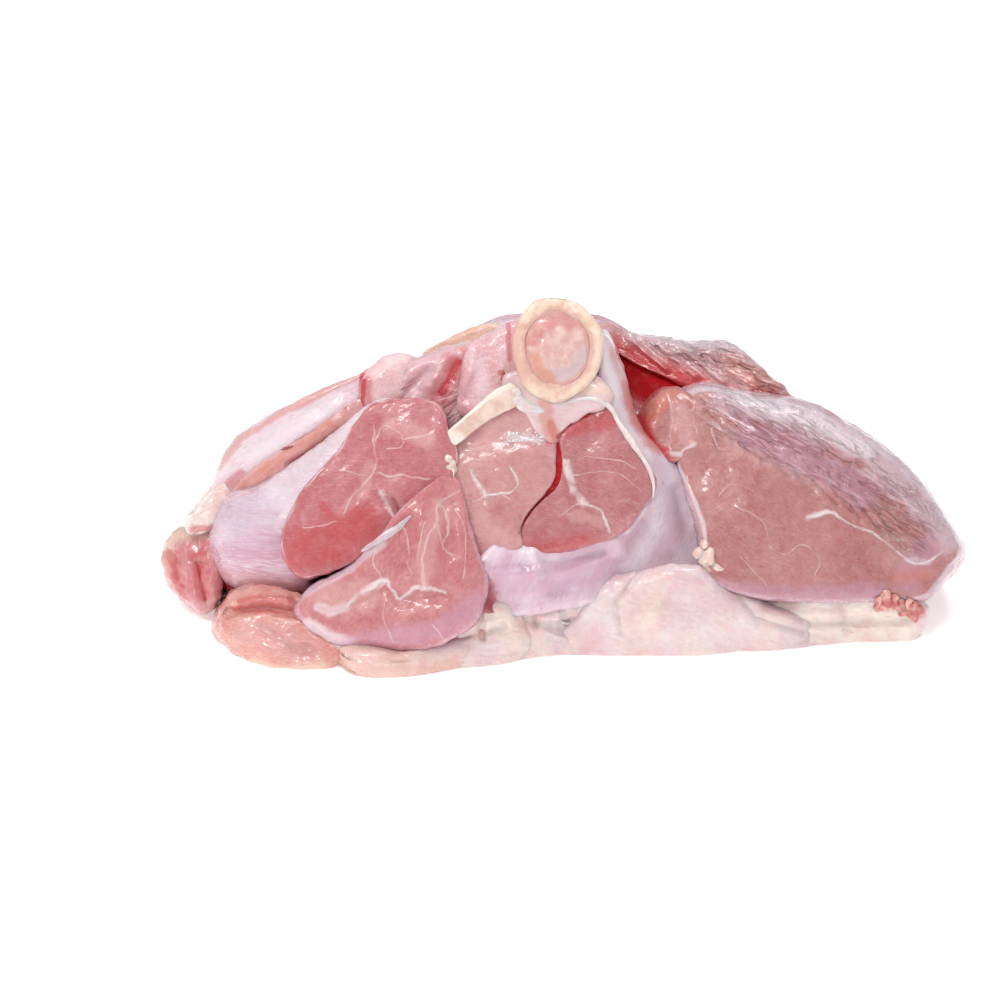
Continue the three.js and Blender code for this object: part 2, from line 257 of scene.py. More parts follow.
class Finish:
    """A material of moist flesh, fat or bone, built up from masks and colours."""

    def __init__(self, name, roughness=0.4, coat=0.3, scatter=1.5, scatter_colour=(1.0, 0.42, 0.34),
                 ior=MOIST_IOR):
        self.material = bpy.data.materials.new(name)
        self.material.use_nodes = True
        self.tree = self.material.node_tree
        self.shader = self.tree.nodes["Principled BSDF"]
        for key, value in {"Roughness": roughness, "IOR": ior, "Subsurface Weight": 0.6,
                           "Subsurface Radius": scatter_colour, "Subsurface Scale": scatter * MM,
                           "Coat Weight": coat, "Coat Roughness": 0.1}.items():
            self.shader.inputs[key].default_value = value
        where = {"Vector": self.add("TexCoord", output=3), "Rotation": (FACE_LEAN, 0, 0),
                 "Scale": (1 / MM,) * 3, "Location": (MIDDLE[0], MIDDLE[1] * COS, MIDDLE[1] * SIN)}
        self.place = self.add("Mapping", None, where)          # x, minus w and v of the sawn face

    def add(self, kind, settings=None, values=None, output=0):
        node = self.tree.nodes.new("ShaderNode" + kind)
        for key, value in (settings or {}).items():
            setattr(node, key, value)
        for key, value in (values or {}).items():
            if isinstance(value, Socket):
                self.tree.links.new(value.socket, node.inputs[key])
            else:
                node.inputs[key].default_value = value
        return Socket(self, node.outputs[output])

    def mix(self, factor, first, second):
        return self.add("Mix", {"data_type": "RGBA"}, {0: factor, 6: first, 7: second}, output=2)

    def step(self, value, low, high):
        """0 where the value is under low, 1 where it is over high, and smooth between."""
        bounds = {"Value": value, "From Min": low, "From Max": high}
        return self.add("MapRange", {"interpolation_type": "SMOOTHSTEP"}, bounds)

    def attribute(self, name):
        return self.add("Attribute", {"attribute_name": name}, output=2)

    def noise(self, size, stretch=(1, 1, 1), detail=2, shift=0, turn=0):
        """A cloudy pattern with lumps of that size in millimetres, longer where stretch is over 1.

        turn is the angle, in radians, that its first direction falls to the right on the sawn face.
        """
        spread = {"Vector": self.place, "Location": (-shift * size, 0, shift * size),
                  "Rotation": (0, turn, 0), "Scale": tuple(size * s for s in stretch)}
        where = self.add("Mapping", {"vector_type": "TEXTURE"}, spread)
        return self.add("TexNoise", None, {"Vector": where, "Scale": 1, "Detail": detail})

    def patch(self, colour, kind, tint, strength, spread, low=0.2, high=0.9):
        """Tints the colour where the mesh keeps a patch of that kind. spread makes its edge uneven."""
        return self.mix(self.step(self.attribute(kind) + spread, low, high) * strength, colour, tint)

    def clouded(self, first, second, size, detail=4, low=0.32):
        """The first colour, clouded with the second."""
        return self.mix(self.step(self.noise(size, detail=detail), low, 1 - low), first, second)

    def near_line(self, kind):
        """1 on the lines of that kind and 0 off them, from the fields that draw_lines keeps on the mesh."""
        side, spare = self.attribute(kind + "_side"), self.attribute(kind + "_spare")
        gap = side.math("ABSOLUTE").math("MAXIMUM", spare)
        ragged = gap + (self.noise(1.5, detail=3) - 0.5) * 1.4 + (self.noise(7, shift=4) - 0.5) * 2.6
        return 1 - self.step(ragged, 0.1, 1.6)

    def finish(self, colour, roughness, height):
        """Links what varies to the shader. height is relief in millimetres."""
        bump = self.add("Bump", None, {"Strength": 1, "Distance": MM, "Height": height})
        for key, value in {"Base Color": colour, "Roughness": roughness, "Normal": bump}.items():
            self.tree.links.new(value.socket, self.shader.inputs[key])
        return self.material

    def grained(self, colour, roughness, size, relief, detail=4, more=0):
        """Finishes the material with a fine grain of that size, in its roughness and in its relief."""
        grain = self.noise(size, detail=detail)
        return self.finish(colour, roughness + (grain - 0.5) * 0.3, grain * relief + more)


FASCIA = rgb(244, 218, 216)
SILVER = rgb(226, 208, 220)
# The white, pale hazy, red and crimson patches also paint highlights, sheen and shade in some places, as
# noted where they are laid.
PATCHES = {                   # soft patches: their colour, their strength and their relief in millimetres
    "film": (SILVER, 0.6, 0.1),
    "white": (rgb(244, 232, 238), 0.65, 0.3),
    "cream": (rgb(242, 218, 198), 0.7, 0.5),
    "haze": (rgb(232, 184, 184), 0.45, 0.0),
    "violet": (rgb(208, 160, 184), 0.5, 0.0),
    "blush": (rgb(202, 66, 70), 0.55, 0.0),
    "orange": (rgb(218, 134, 112), 0.5, 0.2),
    "raw": (rgb(196, 44, 52), 0.85, 0.0),
    "wet": (rgb(164, 14, 30), 0.85, -0.6),
}
LINES = {                     # fine lines: their colour, their strength and their relief in millimetres
    "vein": (FASCIA, 0.55, 0.12),
    "fascia": (rgb(246, 228, 226), 0.85, 0.5),
    "slit": (rgb(150, 12, 28), 0.9, -0.8),
}
LINE_SPARE = 0.6              # millimetres by which the spare lets a line run on past its ends
FAR_AWAY = 1e3                # half widths from the nearest line, where there is none


def lean(name, cut, skin, skin_from, rim_line, depth, along, marks, turn, mottled, fibrous, gloss, wet, ior):
    """Moist lean meat: two tones of cut face, two of silverskin, and the marks on them.

    skin_from is how far inside the edge of the cut the skin starts, rim_line how strong the white line round
    the cut is, along and turn how the fine lines of the skin run, and depth how strongly the flank is
    painted deep red further down, as painted shade in the seams between the muscles. marks has, for each
    kind, the half width of each mark and the line that it follows. mottled and fibrous are how strong the
    two patterns are.
    """
    made = Finish(name, coat=wet, ior=ior)
    cut, skin = ([rgb(*tone) for tone in tones] for tones in (cut, skin))
    edge = made.attribute("edge") + (made.noise(5, detail=3) - 0.5) * 2.4

    colour = made.mix(made.step(made.noise(20, detail=3, shift=3), 0.3, 0.7), cut[0], cut[1])
    mottle = made.noise(4, detail=7, shift=8)
    colour = made.mix(made.step(mottle, 0.5, 0.75) * 0.42 * mottled, colour, rgb(234, 184, 182))
    colour = made.mix((1 - made.step(mottle, 0.26, 0.5)) * 0.5 * mottled, colour, rgb(182, 76, 86))
    threads = made.noise(0.5, stretch=(4, 6, 1), detail=4, shift=9, turn=turn)
    colour = made.mix(made.step(threads, 0.5, 0.75) * 0.33 * mottled, colour, rgb(246, 214, 212))
    colour = made.mix((1 - made.step(threads, 0.28, 0.5)) * 0.33 * mottled, colour, rgb(160, 70, 78))
    specks = made.noise(0.8, detail=2, shift=21)
    colour = made.mix(made.step(specks, 0.68, 0.76) * 0.45 * mottled, colour, FASCIA)

    cloud = made.step(made.noise(9, stretch=along, detail=4, shift=5, turn=turn), 0.32, 0.68)
    skin_colour = made.mix(cloud, skin[0], skin[1])
    fibres = made.noise(0.45, stretch=along, detail=5, shift=2, turn=turn)
    skin_colour = made.mix(made.step(fibres, 0.5, 0.75) * 0.45 * fibrous, skin_colour, rgb(248, 238, 244))
    between = 1 - made.step(fibres, 0.26, 0.5)
    skin_colour = made.mix(between * 0.4 * fibrous, skin_colour, rgb(196, 122, 144))
    on_skin = 1 - made.step(edge, skin_from - 1.2, skin_from + 1.2)
    colour = made.mix(on_skin, colour, skin_colour)

    pale = (1 - made.step(edge.math("ABSOLUTE"), 0.0, 0.9)) * made.step(made.noise(9, shift=1), 0.42, 0.62)
    colour = made.mix(pale * rim_line, colour, FASCIA)
    # Painted shade: the flank turns deep red from 1.5 to 7 mm below the rim of the cut, as the seams between
    # the muscles are shaded.
    colour = made.mix(made.step(0 - edge, 1.5, 7) * depth, colour, rgb(168, 26, 38))
    height = (mottle * 0.4 + threads * 0.12) * (1 - on_skin) + fibres * 0.16 * on_skin
    height = height + made.noise(1.6, detail=3, shift=33) * 0.22
    roughness = gloss - on_skin * 0.05 + (made.noise(2.5, detail=4, shift=7) - 0.5) * 0.35

    spread = (made.noise(5, detail=5, shift=13) - 0.5) * 1.1
    for kind in (kind for kind in PATCHES if kind in marks):
        mark_colour, strength, _ = PATCHES[kind]
        colour = made.patch(colour, kind, mark_colour, strength, spread, 0.18, 0.85)
    if "wrinkled" in marks:
        folds = made.noise(3.4, stretch=(4.5, 3, 1), detail=3, shift=17, turn=turn)
        folded = made.step(made.attribute("wrinkled") + spread, 0.3, 0.9)
        crest_highlight = made.step(folds, 0.54, 0.66)
        crease = 1 - made.step((folds - 0.42).math("ABSOLUTE"), 0.0, 0.04)
        # Painted light on the folds: their crests are painted pale as a highlight, and their creases dark as
        # shade.
        colour = made.mix(crest_highlight * folded * 0.45, colour, rgb(232, 210, 218))
        colour = made.mix(crease * folded * 0.38, colour, rgb(150, 64, 74))
        height = height + (made.step(folds, 0.38, 0.64) - crease * 0.3) * folded * 2.0
        roughness = roughness - folded * 0.16
    for kind in (kind for kind in LINES if kind in marks):
        mark_colour, strength, rise = LINES[kind]
        line = made.near_line(kind) * (0.45 + made.step(made.noise(6, shift=27), 0.34, 0.56) * 0.55)
        colour = made.mix(line * strength, colour, mark_colour)
        height = height + line * rise
    return made.finish(colour, roughness, height)


def smooth_line(corners, steps=5):
    """The open curve through the corners."""
    corners = np.array(corners, float)
    b, c = corners[:-1], corners[1:]
    a, d = np.vstack([2 * b[:1] - c[:1], b[:-1]]), np.vstack([c[1:], 2 * c[-1:] - b[-1:]])
    return np.vstack([smooth_curve(a, b, c, d, steps), c[-1:]])


def keep_patch(data, across, kind, lines):
    """Keeps on the mesh how close its points lie to the lines, 1 on them and 0 well past their width."""
    amount = np.zeros(len(across))
    for half_width, line in lines:
        amount = np.maximum(amount, np.exp(-((distance_to_line(across, line) / half_width) ** 2)))
    keep_field(data, kind, amount)
    return amount


def draw_lines(data, across, kind, lines, seed):
    """Keeps on the mesh how far its points lie from the lines, in half widths.

    The side has a sign, so that a line finer than the mesh stays sharp. The spare has none, and it ends the
    lines at their ends.
    """
    wander = [0.8 * unevenness(across, 7, seed + k) + 0.3 * unevenness(across, 2.6, seed + 5 + k)
              for k in (0, 1)]
    places = across + np.stack(wander, 1)
    side, spare, nearest = np.full((3, len(across)), FAR_AWAY)
    for half_width, line in lines:
        for step, away in ways_from_line(places, smooth_line(line)):
            gap = np.linalg.norm(away, axis=1)
            closer = gap / half_width < nearest
            nearest[closer] = gap[closer] / half_width
            turn = np.sign(step[0] * away[:, 1] - step[1] * away[:, 0])
            side[closer] = (gap * turn)[closer] / half_width
            spare[closer] = (gap[closer] - LINE_SPARE) / half_width
    keep_field(data, kind + "_side", side)
    keep_field(data, kind + "_spare", spare)


def bundle(name, outline, face=76, dome=0, tilt=(0, 0), ridges=(), rim=2, end_rim=12, reach=1,
           swell=0.05, grow=0.8, cells=80, lumps=1.0, marks=(), seed=1, turn=0):
    """The mesh of one bundle, from the sawn face back to the share of the way to the rear cut in reach.

    ridges are soft rises of its face, each with its half width, its height and the line that it follows, and
    grow presses the bundle so much into its neighbours.
    """
    outline = np.array(outline, float)
    middle = outline.mean(0)
    outward = outline - middle
    outline = middle + outward * (1 + grow / np.linalg.norm(outward, axis=1))[:, None]

    def near(across):
        x, v = (across - middle).T
        spread = np.ptp(outline, axis=0).max() / 2
        height = face + tilt[0] * x + tilt[1] * v + dome * (1 - np.minimum((x**2 + v**2) / spread**2, 1))
        for width, rise, line in ridges:
            height = height + rise * np.exp(-((distance_to_line(across, line) / width) ** 2))
        return height

    def far(across):
        x, v = (across - middle).T
        return (face + tilt[0] * x + tilt[1] * v) * (1 - reach) + rear_at(*across.T) * reach

    data, across, w, edge = closed_body(name, outline, near, far, (rim, end_rim), swell, cells)
    set_points(data, from_face(*across.T, w))
    places = np.column_stack([across, w])
    skin = np.clip(-edge / 2, 0, 1)
    relief = 0.7 * unevenness(places, 15, seed) + 0.28 * unevenness(places, 5, seed + 1)
    relief += 0.1 * unevenness(places * (1, 1.6, 0.5), 1.9, seed + 2)
    relief += 0.22 * unevenness(places * (1, 1, 0.12), 2.6, seed + 3) * skin
    relief *= lumps
    for kind, lines in dict(marks).items():
        if kind in LINES:
            draw_lines(data, across, kind, lines, seed)
            continue
        amount = keep_patch(data, across, kind, lines)
        relief += PATCHES[kind][2] * amount if kind in PATCHES else 0
        if kind == "wrinkled":
            slant = np.array([[math.cos(turn), -math.sin(turn)], [math.sin(turn), math.cos(turn)]])
            folds = unevenness(np.column_stack([across @ slant.T, w]) * (0.35, 1, 0.35), 3.2, seed + 4)
            relief += 0.8 * amount * (folds - 0.8 * np.clip(np.abs(folds) * -3 + 0.6, 0, 1))
    raise_surface(data, relief)
    keep_field(data, "edge", edge)
    if points_of(data)[:, 2].min() < FLOOR_CLEARANCE * MM:
        cut_level(data, FLOOR_CLEARANCE * MM)
    return data


PINK_CUT = ((204, 122, 124), (216, 144, 144))
PINK_SKIN = ((208, 134, 142), (222, 170, 178))
SILVERSKIN = ((214, 170, 186), (234, 212, 224))
DEEP_CUT = ((164, 30, 40), (188, 60, 64))
SHADED_IOR = 1.12                     # what lies deep in the meat mirrors little of the room
SKIN_ALL_OVER = 200                   # further inside the edge than any cut goes


def muscle(name, outline, cut=PINK_CUT, skin=PINK_SKIN, skin_from=-1.2, rim_line=0.5, depth=0.8,
           along=(1, 12, 1), marks=(), turn=0, mottled=0.6, fibrous=1, gloss=0.3, wet=0.35,
           ior=MOIST_IOR, **form):
    """One muscle of the joint, with its own form and finish."""
    data = bundle(name, outline, marks=marks, turn=turn, **form)
    material = lean(name, cut, skin, skin_from, rim_line, depth, along, marks, turn, mottled, fibrous,
                    gloss, wet, ior)
    add_piece(data, material, "meat")


def skinned(name, outline, depth=0, **form):
    """A muscle that is still covered with its skin where it faces the front."""
    muscle(name, outline, skin_from=SKIN_ALL_OVER, rim_line=0, depth=depth, **form)


muscle("core", [
    (-134, 14), (-112, 42), (-72, 72), (-36, 86), (0, 92), (30, 76), (66, 68), (104, 54), (140, 22),
    (122, 2), (50, 0), (-10, -4), (-60, -14), (-112, -6)],
    face=44, rim=(22, 14, 20, 8), end_rim=16, reach=0.88, cells=50, seed=10, cut=DEEP_CUT,
    skin=((186, 70, 76), (206, 110, 116)))
muscle("saddle", [
    (-47, 76), (-44, 96), (-32, 103), (-21, 107), (0, 109), (17, 106), (29, 97), (34, 76), (15, 61),
    (-16, 61)],
    face=20, rim=(8, 6, 8, 6), end_rim=14, reach=0.98, cells=50, seed=20, depth=0.2, skin_from=2,
    cut=DEEP_CUT, skin=SILVERSKIN)
muscle("hollow", [
    (11, 102), (31, 99), (54, 91), (62, 76), (54, 57), (31, 53), (11, 65)],
    face=24, rim=5, tilt=(0.1, -0.2), reach=0.93, cells=48, seed=30, mottled=0.15, fibrous=0.2, gloss=0.8,
    wet=0, depth=0, cut=((206, 18, 36), (222, 44, 50)), skin=((198, 18, 38), (214, 48, 58)), ior=SHADED_IOR)

# The muscles of the left half, cut straight across: the shank muscle in its bright silverskin, the oval eye
# that it wraps, and the broad fan in front, whose veins of fat branch down from its top corner.
# White lines are fascia and fat between the bundles of the meat, and lie nearly flush with the cut.
skinned("shank", [
    (-136, 23), (-134, 33), (-128, 40), (-116, 43), (-104, 49), (-91, 59), (-77, 69), (-67, 74), (-59, 71),
    (-71, 49), (-87, 23), (-94, 6), (-100, 1), (-115, 1), (-128, 6), (-134, 14)],
    face=62, rim=(34, 8, 4, 16), dome=3, tilt=(0.24, 0), cells=100, seed=40, along=(16, 8, 1), turn=0.08,
    fibrous=1.9, skin=((216, 166, 182), (232, 206, 220)), gloss=0.27, wet=0.4,
    ridges=[(6, 5.5, [(-101, 33), (-91, 49), (-80, 61), (-70, 70)]),
        (3, -1, [(-106, 43), (-94, 55), (-84, 63)])],
    # The broad white band is white silverskin, with its highlight painted in along the top of the shank.
    marks={"white": [(10, [(-104, 42), (-94, 51), (-82, 62), (-70, 70)]),
            (2.2, [(-104, 32), (-98, 42), (-88, 52)])],
        "film": [(9, [(-126, 30), (-112, 34)])],
        "haze": [(3, [(-128, 9), (-112, 6), (-98, 6)])],
        "violet": [(5, [(-124, 18), (-106, 20)])]})
muscle("eye", [
    (-104, 24), (-98, 38), (-85, 53), (-78, 65), (-70, 73), (-58, 75), (-47, 73), (-43, 63), (-40, 54),
    (-45, 43), (-56, 33), (-66, 25), (-80, 14), (-96, 9), (-103, 16)],
    face=75, rim=(1.8, 2, 1.4, 1.8), dome=2, tilt=(0.08, 0), reach=0.97, cells=96, seed=50, rim_line=0.9,
    cut=((200, 112, 118), (206, 132, 138)),
    ridges=[(5, 1.2, [(-97, 19), (-84, 42)]), (3, -1.8, [(-64, 37), (-61, 32)]),
        (9, 1.5, [(-60, 66), (-50, 56)]), (2.5, -0.7, [(-71, 64), (-70, 51), (-77, 39)])],
    marks={"vein": [(0.36, [(-71, 65), (-70.7, 56), (-69.4, 51), (-71.5, 47), (-77.4, 39.4), (-82, 33)]),
            (0.32, [(-69, 47.5), (-64, 45.7), (-57.4, 46.4), (-50.3, 45)]),
            (0.36, [(-70.3, 59.8), (-67.4, 65), (-61.4, 62.4), (-60, 60), (-50, 61.6)]),
            (0.25, [(-60, 60), (-60.7, 57.5), (-65.5, 56.8)]), (0.22, [(-81, 48.6), (-78, 47.5), (-74, 47)]),
            (0.22, [(-96.3, 27), (-88.2, 28.6), (-84.8, 30)])],
        "haze": [(4, [(-64, 64), (-50, 61)]), (2.5, [(-72, 50), (-74, 42), (-82, 33)])],
        "blush": [(11, [(-97, 18), (-86, 21), (-76, 27)]),
            (1.5, [(-89.6, 35.6), (-84.8, 30), (-88.5, 26.4)])],
        "slit": [(0.7, [(-63.4, 37.4), (-60.8, 32.6)])],
        "fascia": [(1.0, [(-67.8, 40.4), (-66.4, 38), (-65.3, 35.6)]),
            (0.6, [(-65.3, 35.6), (-62.4, 31.4)])]})
muscle("fan", [
    (-99, -2), (-93, 6), (-81, 13), (-69, 22), (-61, 32), (-50, 43), (-44, 47), (-38, 43), (-35, 32),
    (-32, 20), (-29, 9), (-30, 0), (-34, -8), (-49, -17), (-68, -18), (-84, -15), (-95, -8)],
    face=78, rim=(7, 2, 4, 5), dome=5, tilt=(0.05, 0.02), reach=0.98, cells=110, seed=60, skin_from=0.2,
    rim_line=0.3, turn=-0.9, cut=((204, 124, 127), (214, 144, 144)), skin=((208, 146, 158), (220, 172, 184)),
    ridges=[(4, -1.5, [(-59, 27), (-58, 12)]), (6, 1.6, [(-52, 34), (-52, 12)]),
        (5, 1.4, [(-38, 24), (-36, 6)]), (3, -1.4, [(-80, -3), (-66, 6), (-60, 1), (-46, 2)]),
        (9, 2, [(-70, -9), (-45, -9)]), (2, -1.2, [(-44, 36), (-42, 18)])],
    marks={"violet": [(5, [(-78, -16), (-64, -14), (-50, -11), (-40, -7), (-32.5, 0)])],
        "film": [(2.2, [(-96, 3), (-86, 9), (-77, 15), (-67, 21)])],
        "haze": [(7, [(-88, 2), (-74, 2)]), (4, [(-46, 36), (-50, 20), (-52, 8)])],
        # The first white line is a painted highlight on the wet film of the lower left.
        "white": [(2, [(-91, -2), (-86, -3.6), (-81, -2.4)]), (2.6, [(-94, -8), (-87, -12.5), (-80, -15.5)]),
            (1.6, [(-74, 3.6), (-67, 7.4)])],
        "vein": [(0.5, [(-38.4, 41), (-45.7, 36), (-47.3, 28.6), (-51.5, 21.3), (-52.8, 13), (-51.5, 5.5)]),
            (0.3, [(-46.5, 28), (-43.2, 18.7), (-39, 16)]),
            (0.32, [(-45.7, 36), (-43.5, 33), (-43.2, 26.4), (-44.5, 20)]),
            (0.4, [(-59.8, 27), (-58.4, 19.5), (-58.8, 14.6), (-56.5, 11.3)]),
            (0.28, [(-69.6, 18.7), (-70.5, 13.7), (-67.2, 9.6)]),
            (0.28, [(-66.4, 0.6), (-66.4, -6), (-63, -15)]), (0.28, [(-48, -8.5), (-45, -15)]),
            (0.25, [(-40, 34), (-37, 26), (-36, 16), (-37, 8)]), (0.25, [(-51, 30), (-54, 22), (-55, 16)])],
        "fascia": [(0.8, [(-79.4, -2), (-73.7, 4), (-65.5, 8.8), (-63, 5.5), (-59.8, 1.8), (-54.8, 5.5),
            (-51.5, 4.6), (-44, 2.6)])]})

# The two muscles of the middle, right under the bones, and the crimson bed of the slit between them.
# The left one is dusty pink with a horseshoe of fat, and the right one carries a white fork of fascia.
muscle("slit_bed", [
    (-22, 22), (-20, 36), (-8, 48), (-8, 60), (0, 69), (10, 69), (8, 60), (8, 44), (-4, 32), (-12, 20)],
    face=74.7, reach=0.3, cells=40, seed=65, mottled=0.2, wet=0.4, depth=0,
    cut=((190, 10, 26), (208, 30, 42)), skin=((190, 10, 26), (208, 30, 42)), ior=SHADED_IOR)
muscle("centre_left", [
    (-44, 56), (-40, 62), (-30, 69), (-20, 73), (-10, 72), (-5.2, 67), (-3.2, 60), (-3.1, 52), (-3.8, 45),
    (-8.9, 38.6), (-14, 32.6), (-16.7, 26), (-16, 20), (-22, 15), (-31, 14), (-36, 26), (-41, 40)],
    rim=(1.6, 2.5, 1.2, 2), dome=2, reach=0.97, cells=90, seed=70, grow=0.4, rim_line=0.3, turn=0.4,
    cut=((206, 142, 142), (216, 162, 162)),
    ridges=[(7, 1.4, [(-24, 48), (-22, 44)]), (6, -1.4, [(-34, 60), (-12, 66)]),
        (2, -0.8, [(-33, 46), (-29, 38)])],
    marks={"fascia": [(0.5, [(-21.7, 59.7), (-17, 60), (-14.3, 61.2), (-8.4, 59.4)]),
            (0.75, [(-33.8, 47.5), (-31, 42.7), (-29, 38.6)]),
            (0.5, [(-29, 38.6), (-24.2, 39.2), (-18.8, 40.6), (-17.3, 44.2), (-19.5, 49.5)])],
        "vein": [(0.32, [(-32.5, 37), (-29, 38.6)]), (0.3, [(-20, 38), (-24.2, 39.2)]),
            (0.25, [(-35.5, 55.3), (-27.3, 57.5), (-20.6, 59.4)]),
            (0.25, [(-32.5, 51.6), (-25, 55.3), (-19.2, 56.4)])],
        "white": [(1.6, [(-20, 61), (-9, 60)])],
        "haze": [(6, [(-30, 28), (-24, 22)]), (5, [(-34, 60), (-14, 66)])],
        "blush": [(2.5, [(-8, 68), (-5, 60)])]})
muscle("centre_right", [
    (-16, 25), (-12.5, 33), (-8, 38), (-2.4, 43), (-1, 51), (-1.4, 61), (5, 67), (15, 72), (20, 66),
    (28, 55), (34, 44), (29, 35), (22, 26), (11, 21), (-6, 17), (-14, 18)],
    face=75, rim=(1.2, 2.5, 4, 4), dome=2.5, tilt=(-0.05, 0), reach=0.95, cells=90, seed=80, grow=0.3,
    rim_line=0.3, turn=0.3, cut=((190, 118, 122), (202, 136, 140)),
    ridges=[(7, 1.5, [(16, 52), (20, 44)]), (4, -1.2, [(2, 46), (8, 36), (16, 28)])],
    marks={"blush": [(4, [(2, 63), (10, 67), (17, 67)]), (7, [(-9, 18), (10, 19)])],
        "fascia": [(1.3, [(-0.2, 51.6), (2.6, 45.4), (5.3, 40), (7.4, 36.5)]),
            (0.6, [(7.4, 36.5), (12.2, 33.8), (15, 30.5), (17, 26)])],
        "vein": [(0.5, [(7.4, 36.5), (2.6, 35), (-1.5, 31.7)]),
            (0.2, [(3, 47), (13.5, 48.6), (21, 46.4), (28.3, 41)]), (0.2, [(8, 54), (18, 53), (26, 49)])],
        "haze": [(2.4, [(3.9, 31.6), (9, 30.8), (13.5, 29)])]})

# The skin-covered middle of the joint: the gristle round the foot of the bone, and the valley of silverskin
# that falls from the ring's right side down to the fat. Its high edge carries a thick ribbon of fascia.
RIBBON = [(11, 77), (18.3, 71.6), (20.4, 66), (25.2, 59), (29.3, 53.6), (32.2, 47.5), (33.6, 42.7), (33, 37)]
skinned("collar", [
    (-21, 76), (-20, 84), (-4, 86), (10, 84), (15, 79), (17, 75.5), (13.5, 71.5), (8, 69.5), (2, 65.5),
    (-3, 59), (-8, 60), (-13, 69)],
    face=76.5, rim=(2, 2, 3, 2), reach=0.5, cells=64, seed=90, along=(10, 8, 3), fibrous=0.4,
    skin=((222, 180, 184), (240, 212, 212)), gloss=0.26, wet=0.45,
    ridges=[(4, 0.8, [(0, 74), (12, 74)])],
    marks={"orange": [(3.4, [(-7, 73), (-6, 67), (-4.3, 61)])],
        "blush": [(1.6, [(-5, 66), (-3, 60)])],
        "white": [(1.5, [(-18, 78), (-13, 73), (-10, 70)])],
        "wet": [(1.2, [(-2, 61), (3, 65)])],
        "cream": [(3, [(-4, 79), (6, 80), (14, 79)])]})
skinned("valley", [
    (11, 78), (14, 97), (18, 97), (22, 86), (27, 72), (33, 60), (45, 50), (54, 36), (58, 19), (54, 6),
    (29, 0), (-1, -4), (-24, -6), (-32, -2), (-34, 11), (-26, 22), (-4, 50)],
    face=65, rim=(4, 4, 5, 4), tilt=(-0.3, 0.04), cells=104, seed=100, grow=0.5, along=(6, 6, 1), turn=-1.1,
    fibrous=0.65, skin=((226, 190, 206), (244, 228, 238)), gloss=0.25, wet=0.45,
    ridges=[(6, 7, [(14, 95), (17, 80), *RIBBON[1:], (27, 34), (20, 24)]),
        (8, 5, [(-25, 11), (-10, 15), (12, 20)]), (2.5, 2.5, [(-12, 17), (-10, 12), (-9, 6)]),
        (7, -4, [(-26, 4), (-18, -2)]), (3, -2, [(42, 40), (46, 28)]),
        (2, 1.4, [(-24, 9), (0, 11), (22, 18)]), (2.5, -1.6, [(-26, 13), (0, 15), (14, 19)])],
    marks={"white": [(2.4, [(14.6, 94), (17, 80), (23, 66), (31, 54)]),
            (1.6, [(-12.4, 18), (-10.5, 14.3), (-8.6, 9)]), (1.5, [(24, 26), (30, 34)])],
        "film": [(6, [(28, 66), (38, 48), (42, 34)])],
        "violet": [(7, [(-24, 8), (0, 8), (16, 12)])],
        "orange": [(3, [(19.6, 93), (22.8, 82), (28.6, 68), (35, 57)])],
        "blush": [(4, [(24.5, 80), (29, 68), (34, 60)])],
        # The crimson patch at the left tip is red meat in the gap beside the fan, darkened further as
        # painted shade.
        "wet": [(4, [(-32, 12), (-28.5, 3), (-27, -5)])],
        "raw": [(3.1, [(29, 80), (33, 68), (38, 58)])]})
muscle("knob", [
    (27, 64), (31, 72), (36.5, 77.5), (43, 79.5), (49, 77), (54, 70), (54, 62), (50, 55), (39, 52),
    (32, 57)],
    face=58.6, rim=(8, 7, 1, 2), dome=0.5, tilt=(-0.02, -0.08), reach=0.4, cells=64, seed=110, skin_from=-1,
    grow=0.6, rim_line=0, depth=0.3, mottled=0.9, cut=((198, 130, 126), (208, 150, 146)),
    skin=((196, 112, 110), (208, 138, 134)),
    ridges=[(1.6, -1.2, [(40, 79), (41, 70), (39, 60)]), (3, 1.2, [(36, 74), (34, 62)])],
    marks={"white": [(1.2, [(38.6, 55), (44, 54.6), (49, 58.5)])],
        "vein": [(0.35, [(50, 78), (49, 66), (53, 58)]), (0.3, [(40, 78), (41, 68), (40, 60)])],
        "blush": [(5.5, [(27, 67), (30, 58), (37, 52)])],
        "raw": [(3.4, [(28.6, 68), (31, 60), (37, 54)])],
        "orange": [(4, [(32, 70), (40, 76)])],
        "haze": [(4, [(44, 70), (46, 62)])]})

